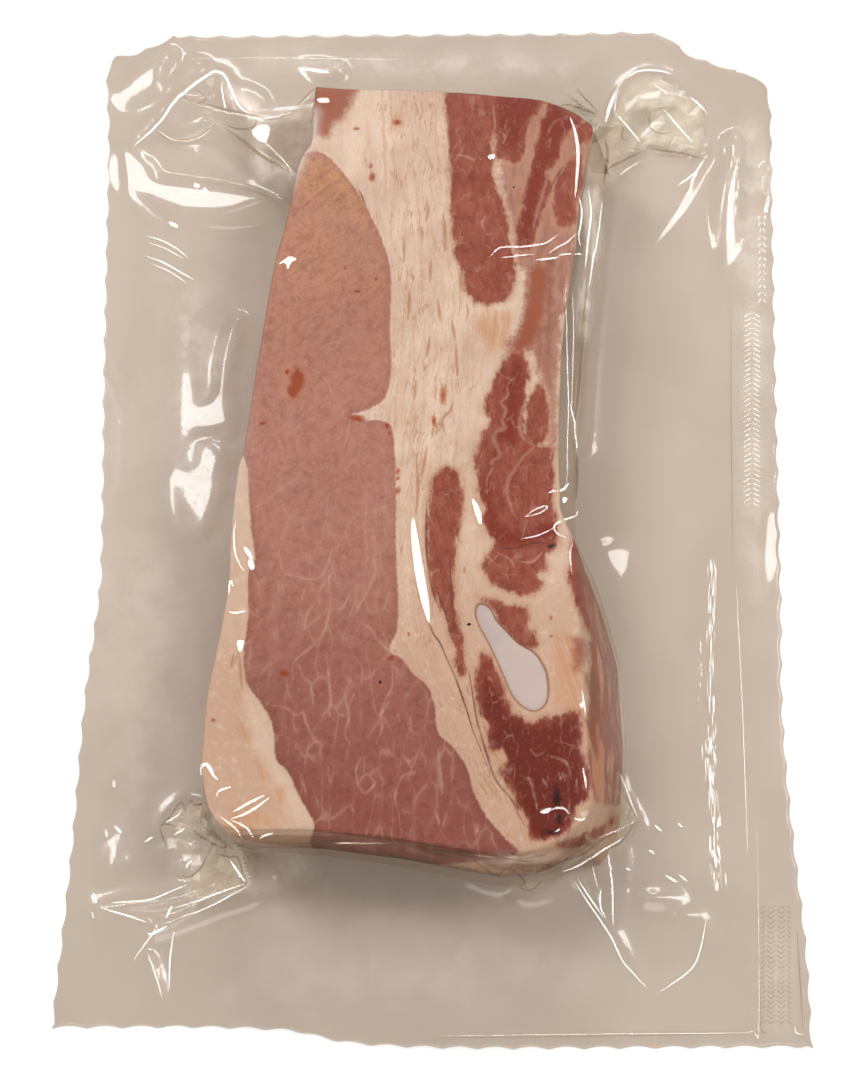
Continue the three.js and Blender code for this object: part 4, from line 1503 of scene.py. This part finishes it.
# Pink lean: tan far end, deep rim, slanting shade, fibre, redder near end and net of marbling
TAN_NOISE = (0.04, 3)
TAN_STRAY = 60
TAN_END = (40, 155)
RIM_STEP = (3, 0.0, 0.4)
SLANT_ACROSS = 0.42
SLANT_STEP = (0.5, 0.72)
SLANT_END = (-50, 30)
SLANT_SHARE = 0.4
FIBRE_BEND = 0.3
FIBRE_STEP = (0.45, 0.75, 0.3)
LEAN_NEAR_END = (0, -112)
NET_CELLS = (0.4, 0.2, 0.08)
NET_SOFT = (0.28, 0.0, 0.1)
NET_CRISP = (0.07, 0.0, 0.26)
NET_END = (60, -40)
STAINED_LEAN = 0.3

# Dark lean, its core, its pale threads, its feathered edge and the tissue mixed with it
STRAND_STEP = (0.38, 0.62)
CORE_END = (-45, -75)
WEAVE_CELLS = (0.7, 0.3, 0.17)
WEAVE_STEP = (0.08, 0.0)
WEAVE_NOISE = (0.2, 3)
WEAVE_PATCHES = (0.46, 0.66)
WEAVE_SHARE = 0.3
RED_ROUGHNESS = 1.5
RED_FEATHER = 4
RED_STEP = (-0.8, 0.9)
RED_RIM_STEP = (-2.4, -0.2, 0.45)
MIXED_STEP = (0.4, 0.62)
ORANGE_STEP = (0.42, 0.6, 0.6)

# Flank, bone rim, rust and specks
FLANK_SQUEEZE = 0.35
FLANK_NOISE = (0.14, 3)
FLANK_STEP = (0.44, 0.56)
BONE_RIM_STEP = (-0.8, -0.1)
BONE_RIM_SHARE = 0.75
RUST_ROUGHNESS = 0.7
RUST_CORE = (0.3, 0.8)
RUST_STEP = (-0.25, 0.5, 0.95)
SPECK_STEP = (0.0, 0.25)

# Surfaces: relief strength and depth in metres, roughness and gloss
FIBRE_RELIEF = 0.5
FINE_RELIEF = 0.6
PORK_RELIEF = (0.25, 0.0006)
BONE_RELIEF = (0.2, 0.0003)
FLESH_ROUGHNESS = 0.5
FLESH_GLOSS = 0.06
BONE_PORES = (1400, 3, 0.6)
BONE_PORE_STEP = (0.68, 0.78, 0.4)
BONE_CLOUDS = (60, 2)
BONE_CLOUD_STEP = (0.4, 0.7)
FILM_RELIEF = (0.12, 0.001)
FILM_WAVES = (130, 3)
FILM_CLOUDS = (30, 3)
FILM_CLOUD_STEP = (0.35, 0.65)
FILM_EDGE_STEP = (0.4, 0.95)
FILM_CRISP = 0.08
FILM_SOFT = 0.28
FILM_MIRROR_POWER = 5.0
FILM_MIRROR_EDGE = 0.24
FILM_MIRROR_LEAST = 0.036
BUNCH_MIRROR = 0.035
BUNCH_ROUGHNESS = 0.4
WHITE = (1, 1, 1)


class Shader:
    """Adds nodes to a new material and joins them."""

    def __init__(self, name):
        self.material = bpy.data.materials.new(name)
        self.material.use_nodes = True
        self.tree = self.material.node_tree
        self.tree.nodes.clear()
        self.output = self.tree.nodes.new("ShaderNodeOutputMaterial")

    def node(self, kind, inputs=None, **settings):
        made = self.tree.nodes.new("ShaderNode" + kind)
        for key, value in settings.items():
            setattr(made, key, value)
        for key, value in (inputs or {}).items():
            self.feed(made.inputs[key], value)
        return made

    def feed(self, socket, value):
        if isinstance(value, bpy.types.NodeSocket):
            self.tree.links.new(value, socket)
        elif isinstance(value, tuple) and socket.type == "RGBA":
            socket.default_value = (*value, 1)
        else:
            socket.default_value = value

    def place(self):
        return self.node("TexCoord").outputs["Object"]

    def attribute(self, name):
        return self.node("Attribute", attribute_name=name).outputs["Fac"]

    def math(self, operation, *values):
        return self.node("Math", dict(enumerate(values)), operation=operation).outputs[0]

    def times(self, *values):
        product = values[0]
        for value in values[1:]:
            product = self.math("MULTIPLY", product, value)
        return product

    def add(self, a, b):
        return self.math("ADD", a, b)

    def centred(self, value):
        return self.math("SUBTRACT", value, 0.5)

    def scaled(self, value, by, least):
        return self.add(self.times(value, by), least)

    def step(self, value, low, high, to=1.0):
        """0 on the low side, to on the high side, and a smooth rise between."""
        inputs = {"Value": value, "From Min": low, "From Max": high, "To Min": 0.0, "To Max": to}
        return self.node("MapRange", inputs, interpolation_type="SMOOTHSTEP").outputs["Result"]

    def mix(self, share, a, b, blend="MIX"):
        inputs = {"Factor": share, 6: a, 7: b}
        return self.node("Mix", data_type="RGBA", blend_type=blend, inputs=inputs).outputs[2]

    def layered(self, share, below, above):
        return self.node("MixShader", {0: share, 1: below, 2: above}).outputs[0]

    def vector(self, x, y, z=0.0):
        return self.node("CombineXYZ", {"X": x, "Y": y, "Z": z}).outputs[0]

    def noise(self, vector, scale, detail=2.0, rough=0.5):
        inputs = {"Vector": vector, "Scale": scale, "Detail": detail, "Roughness": rough}
        return self.node("TexNoise", inputs).outputs["Fac"]

    def cell_edge(self, x, y, warp, bend, across, along):
        """Distance to the edge of drawn-out cells."""
        bent = self.times(self.bent(x, warp, bend), across)
        vector = self.vector(bent, self.times(self.add(y, warp), along))
        voronoi = self.node("TexVoronoi", {"Vector": vector, "Scale": 1.0}, feature="DISTANCE_TO_EDGE")
        return voronoi.outputs["Distance"]

    def bent(self, x, warp, share):
        return self.add(x, self.times(warp, share))

    def grain(self, name, across, along):
        squeeze, level, scale, detail, rough = GRAINS[name]
        return self.noise(self.vector(across, self.times(along, squeeze), level), scale, detail, rough)

    def ridge(self, name, across, along):
        return self.math("ABSOLUTE", self.centred(self.grain(name, across, along)))

    def inside(self, name, roughness):
        amount, low, high, share = EDGES[name]
        return self.step(self.add(self.attribute(name), self.times(roughness, amount)), low, high, share)

    def line(self, name, roughness):
        amount, low, high = LINE_EDGES[name]
        away = self.add(self.math("ABSOLUTE", self.attribute(name)), self.times(roughness, amount))
        return self.times(self.step(away, low, high), self.attribute(name + "_near"))

    def mottled(self, colour, where, rows):
        for scale, detail, rough, low, high, share, spot in rows:
            grain = self.noise(where, scale, detail, rough)
            colour = self.mix(self.step(grain, low, high, share), colour, spot)
        return colour

    def uneven(self, where, scale, detail, low, high, rise, least):
        return self.add(self.step(self.noise(where, scale, detail), low, high, rise), least)

    def bump(self, height, strength, depth):
        return self.node("Bump", {"Strength": strength, "Distance": depth, "Height": height}).outputs[0]

    def glossy(self, roughness, **normal):
        return self.node("BsdfGlossy", {"Color": WHITE, "Roughness": roughness, **normal}).outputs[0]

    def finish(self, surface):
        self.tree.links.new(surface, self.output.inputs["Surface"])
        return self.material

    def finish_flesh(self, colour, height, strength, depth):
        inputs = {"Base Color": colour, "Roughness": FLESH_ROUGHNESS, "Specular IOR Level": FLESH_GLOSS}
        inputs["Normal"] = self.bump(height, strength, depth)
        return self.finish(self.node("BsdfPrincipled", inputs).outputs[0])


def pork_material():
    s = Shader("pork")
    where = s.node("VectorMath", {0: s.place(), 1: (1 / MM,) * 3}, operation="MULTIPLY").outputs[0]
    xyz = s.node("SeparateXYZ", {0: where})
    x, y, z = (xyz.outputs[axis] for axis in "XYZ")
    fine = s.centred(s.noise(where, *FINE_NOISE))
    ragged = s.add(fine, s.times(s.centred(s.noise(where, *RAGGED_NOISE)), RAGGED_STRENGTH))
    warp = s.times(s.centred(s.noise(where, *WARP_NOISE)), WARP_STRENGTH)

    # Fat: cream, warmer at the near end, with bands, fine streaks and short brown cracks down the middle
    across, along = s.attribute("grain_x"), s.attribute("grain_y")
    bent = s.bent(across, warp, BEND)
    band = s.step(s.math("ABSOLUTE", across), *FAT_BAND)
    fat = s.mottled(FAT_PALE, where, FAT_BASE)
    fat = s.mix(s.step(s.grain("pinkish", bent, along), *PINKISH_STEP), fat, FAT_PINK)
    fat = s.mix(s.step(y, *FAT_NEAR_END), fat, FAT_NEAR)
    fat = s.mix(s.inside("pale", ragged), fat, FAT_WHITE)
    streak = s.grain("streak", bent, along)
    fat = s.mix(s.times(s.step(streak, *STREAK_STEP), s.scaled(band, *STREAK_SHARES)), fat, FAT_LINE)
    split = s.step(s.ridge("split", bent, along), *SPLIT_STEP)
    patchy = s.step(s.noise(where, *SPLIT_NOISE), *SPLIT_PATCHES)
    split = s.times(split, patchy, s.scaled(band, *SPLIT_SHARES))
    fat = s.mix(split, fat, FAT_CRACK)
    thread = s.step(s.ridge("thread", bent, along), *THREAD_STEP)
    fat = s.mix(s.times(thread, s.scaled(band, *THREAD_SHARES)), fat, FAT_LINE)
    fat = s.mottled(fat, where, FAT_MOTTLES)
    fat = s.mix(s.times(s.line("crack", fine), CRACK_SHARE), fat, FAT_CRACK)
    stain = s.inside("stain", ragged)
    fat = s.mix(s.times(stain, s.add(s.step(streak, *STAINED_STREAKS), STAIN_LEAST)), fat, STAIN)

    # Pink lean: tan at the far end, redder at the near end and the rim, with a faint net of pale marbling
    far = s.step(s.add(y, s.times(s.noise(where, *TAN_NOISE), TAN_STRAY)), *TAN_END)
    lean = s.mottled(s.mix(far, PINK, PINK_TAN), where, LEAN_BASE)
    lean = s.mix(s.step(s.attribute("pink"), *RIM_STEP), lean, PINK_DEEP)
    slant = s.grain("slant", s.times(s.math("SUBTRACT", x, y), SLANT_ACROSS), s.add(x, y))
    slant = s.times(s.step(slant, *SLANT_STEP), s.step(y, *SLANT_END), SLANT_SHARE)
    lean = s.mix(slant, lean, PINK_SHADE)
    fibre = s.grain("fibre", s.bent(x, warp, FIBRE_BEND), y)
    lean = s.mix(s.step(fibre, *FIBRE_STEP), lean, PINK_DEEP)
    lean = s.mottled(lean, where, LEAN_MOTTLES)
    lean = s.mix(s.step(y, *LEAN_NEAR_END), lean, PINK_NEAR_TINT, "MULTIPLY")
    edge = s.cell_edge(x, y, warp, *NET_CELLS)
    net = s.add(s.step(edge, *NET_SOFT), s.step(edge, *NET_CRISP))
    lean = s.mix(s.times(net, s.step(y, *NET_END), s.uneven(where, *NET_PATCHES)), lean, VEIN)
    lean = s.mix(s.times(stain, STAINED_LEAN), lean, STAIN)

    # Dark lean: streaked and mottled, darkest at the near end, with fine pale threads
    strand = s.grain("strand", s.bent(x, warp, BEND), y)
    dark = s.mottled(s.mix(s.step(strand, *STRAND_STEP), RED_SOFT, RED), where, RED_BASE)
    core = s.mix(s.step(y, *CORE_END), RED_CORE, RED_NEAR)
    dark = s.mix(s.inside("deep", ragged), dark, core)
    weave = s.step(s.cell_edge(x, y, warp, *WEAVE_CELLS), *WEAVE_STEP)
    weave = s.times(weave, s.step(s.noise(where, *WEAVE_NOISE), *WEAVE_PATCHES), WEAVE_SHARE)
    dark = s.mottled(s.mix(weave, dark, VEIN), where, RED_MOTTLES)

    # The kinds of tissue over each other, each with its own soft or ragged edge
    blend = s.mix(s.step(strand, *MIXED_STEP), MIXED_PALE, MIXED_RED)
    pink = s.inside("pink", fine)
    feather = s.times(s.centred(strand), RED_FEATHER)
    inside_red = s.add(s.add(s.attribute("red"), s.times(ragged, RED_ROUGHNESS)), feather)
    red = s.step(inside_red, *RED_STEP)
    colour = s.mix(s.inside("mixed", ragged), fat, blend)
    colour = s.mix(s.step(inside_red, *RED_RIM_STEP), colour, RED_RIM)
    colour = s.mix(s.inside("orange", ragged), colour, s.mix(s.step(strand, *ORANGE_STEP), ORANGE, MIXED_RED))
    colour = s.mix(pink, colour, lean)
    grain = s.noise(s.vector(x, s.times(y, FLANK_SQUEEZE), z), *FLANK_NOISE)
    flank = s.mottled(s.mix(s.step(grain, *FLANK_STEP), FLANK_PALE, FLANK_BROWN), where, FLANK_MOTTLES)
    colour = s.mix(s.inside("flank", ragged), colour, flank)
    # Brown strips: real on the flank, painted shade on the near wall, painted reflection by the right wall
    colour = s.mix(s.inside("brown_shade_and_reflection", ragged), colour, STRIP_BROWN_SHADE_AND_REFLECTION)
    colour = s.mix(red, colour, dark)

    # Lines and spots over the tissue
    lean_share = s.math("MAXIMUM", pink, red)
    vein = s.times(s.line("vein", fine), lean_share, s.uneven(where, *VEIN_PATCHES), VEIN_SHARE)
    colour = s.mix(vein, colour, VEIN)
    colour = s.mix(s.times(s.line("septum", ragged), lean_share, SEPTUM_SHARE), colour, VEIN)
    colour = s.mix(s.times(s.step(s.attribute("bone"), *BONE_RIM_STEP), BONE_RIM_SHARE), colour, BONE_RIM)
    broken = s.uneven(where, *SEAM_PATCHES)
    for name in ("seam", "long_seam"):
        colour = s.mix(s.times(s.line(name, fine), broken), colour, SEAM)
    rust = s.add(s.attribute("rust"), s.times(ragged, RUST_ROUGHNESS))
    rusty = s.mix(s.math("MAXIMUM", pink, s.step(rust, *RUST_CORE)), RUST_PALE, RUST)
    colour = s.mix(s.step(rust, *RUST_STEP), colour, rusty)
    colour = s.mix(s.inside("dark", ragged), colour, CLOT)
    colour = s.mix(s.step(s.attribute("speck"), *SPECK_STEP), colour, SPECK)
    relief = s.add(s.times(fibre, FIBRE_RELIEF), s.times(fine, FINE_RELIEF))
    return s.finish_flesh(colour, relief, *PORK_RELIEF)


def bone_material():
    s = Shader("bone")
    place = s.place()
    pores = s.noise(place, *BONE_PORES)
    colour = s.mix(s.step(s.noise(place, *BONE_CLOUDS), *BONE_CLOUD_STEP), BONE_PALE, BONE_LILAC)
    colour = s.mix(s.step(pores, *BONE_PORE_STEP), colour, BONE_RIM)
    return s.finish_flesh(colour, pores, *BONE_RELIEF)


def film_material(name, tint, dull_tint=None, edge_tint=None):
    """Clear film: one tint, or one with dull clouds and an edge, a diffuse haze that is partly painted sheen
    and painted light, and a mirror strongest at a grazing view.
    """
    s = Shader(name)
    place = s.place()
    bump = s.bump(s.noise(place, *FILM_WAVES), *FILM_RELIEF)
    facing = s.node("LayerWeight", {"Blend": 0.5}).outputs["Facing"]
    if dull_tint:
        tint = s.mix(s.step(s.noise(place, *FILM_CLOUDS), *FILM_CLOUD_STEP), tint, dull_tint)
        tint = s.mix(s.step(facing, *FILM_EDGE_STEP), tint, edge_tint)
    clear = s.node("BsdfTransparent", {"Color": tint}).outputs[0]
    # Diffuse haze: partly real frosting at the seal, mostly painted sheen of reflections and painted light on
    # shaded film
    hazy_and_painted_light = s.node("BsdfDiffuse", {"Color": FILM_HAZE_AND_PAINTED_LIGHT}).outputs[0]
    haze_and_painted_light = s.times(s.attribute("haze_and_painted_light"), s.uneven(place, *HAZE_AND_LIGHT_PATCHES))
    gloss = s.layered(0.5, s.glossy(FILM_CRISP, Normal=bump), s.glossy(FILM_SOFT, Normal=bump))
    mirror = s.scaled(s.math("POWER", facing, FILM_MIRROR_POWER), FILM_MIRROR_EDGE, FILM_MIRROR_LEAST)
    return s.finish(s.layered(mirror, s.layered(haze_and_painted_light, clear, hazy_and_painted_light), gloss))


def bunched_material():
    """Several layers of crumpled film: clear in places and cloudy in others, with a mirror over it."""
    s = Shader("bunched_film")
    cloud = s.times(s.attribute("cloud"), s.uneven(s.place(), *CLOUD_PATCHES))
    clear = s.node("BsdfTransparent", {"Color": BUNCH_TINT}).outputs[0]
    milk = s.mix(s.attribute("cream"), BUNCH_PINK, BUNCH_CREAM)
    milky = s.node("BsdfPrincipled", {"Base Color": milk, "Roughness": BUNCH_ROUGHNESS}).outputs[0]
    return s.finish(s.layered(BUNCH_MIRROR, s.layered(cloud, clear, milky), s.glossy(FILM_SOFT)))


def floor_material():
    s = Shader("floor")
    shader = s.node("BsdfPrincipled", {"Base Color": FLOOR_COLOUR, "Roughness": FLOOR_ROUGHNESS})
    return s.finish(shader.outputs[0])


# Stage

def area_light(name, place, size, radiance):
    width, height = size
    data = bpy.data.lights.new(name, "AREA")
    data.shape = "RECTANGLE"
    data.size, data.size_y = width, height
    data.energy = radiance * math.pi * width * height
    lamp = bpy.data.objects.new(name, data)
    lamp.location = place
    lamp.rotation_euler = (-Vector(place)).to_track_quat("-Z", "Y").to_euler()
    bpy.context.scene.collection.objects.link(lamp)


def make_stage():
    mesh = bpy.data.meshes.new("floor")
    corners = [(-1, -1), (1, -1), (1, 1), (-1, 1)]
    mesh.from_pydata([(FLOOR_REACH * x, FLOOR_REACH * y, 0) for x, y in corners], [], [(0, 1, 2, 3)])
    mesh.materials.append(floor_material())
    floor = bpy.data.objects.new("floor", mesh)
    bpy.context.scene.collection.objects.link(floor)
    for name, (place, size, radiance) in LAMPS.items():
        area_light(name + "_lamp", place, size, radiance)
    world = bpy.data.worlds.new("studio")
    bpy.context.scene.world = world
    world.use_nodes = True
    background = world.node_tree.nodes["Background"]
    background.inputs["Color"].default_value = WORLD_COLOUR
    background.inputs["Strength"].default_value = WORLD_LIGHT
    bpy.context.scene.view_settings.view_transform = "Standard"


def make_camera():
    data = bpy.data.cameras.new("camera")
    data.sensor_width = SENSOR_MM
    data.lens = SENSOR_MM * FOCAL_PIXELS / PHOTO_HEIGHT
    camera = bpy.data.objects.new("camera", data)
    camera.location = CAMERA_PLACE * MM
    camera.rotation_euler = (CAMERA_TILT, 0, 0)
    bpy.context.scene.collection.objects.link(camera)
    bpy.context.scene.camera = camera


make_camera()
make_stage()
make_pork(pork_material())
make_bone(bone_material())
formed_film = film_material("formed_film", FORMED_TINT, FORMED_DULL_TINT, FORMED_EDGE_TINT)
# The lid film's tint is partly painted shade
lid_film = film_material("lid_film", LID_TINT_AND_PAINTED_SHADE)
crease_and_shade_film = film_material("film_crease_and_shade", CREASE_AND_SHADE_TINT)
film = make_film(formed_film, lid_film)
bunches = make_bunches(BVHTree.FromPolygons(film[0].tolist(), film[1]), bunched_material())
surface = joined([film, bunches])
make_wrinkles(BVHTree.FromPolygons(surface[0].tolist(), surface[1]), formed_film, crease_and_shade_film)
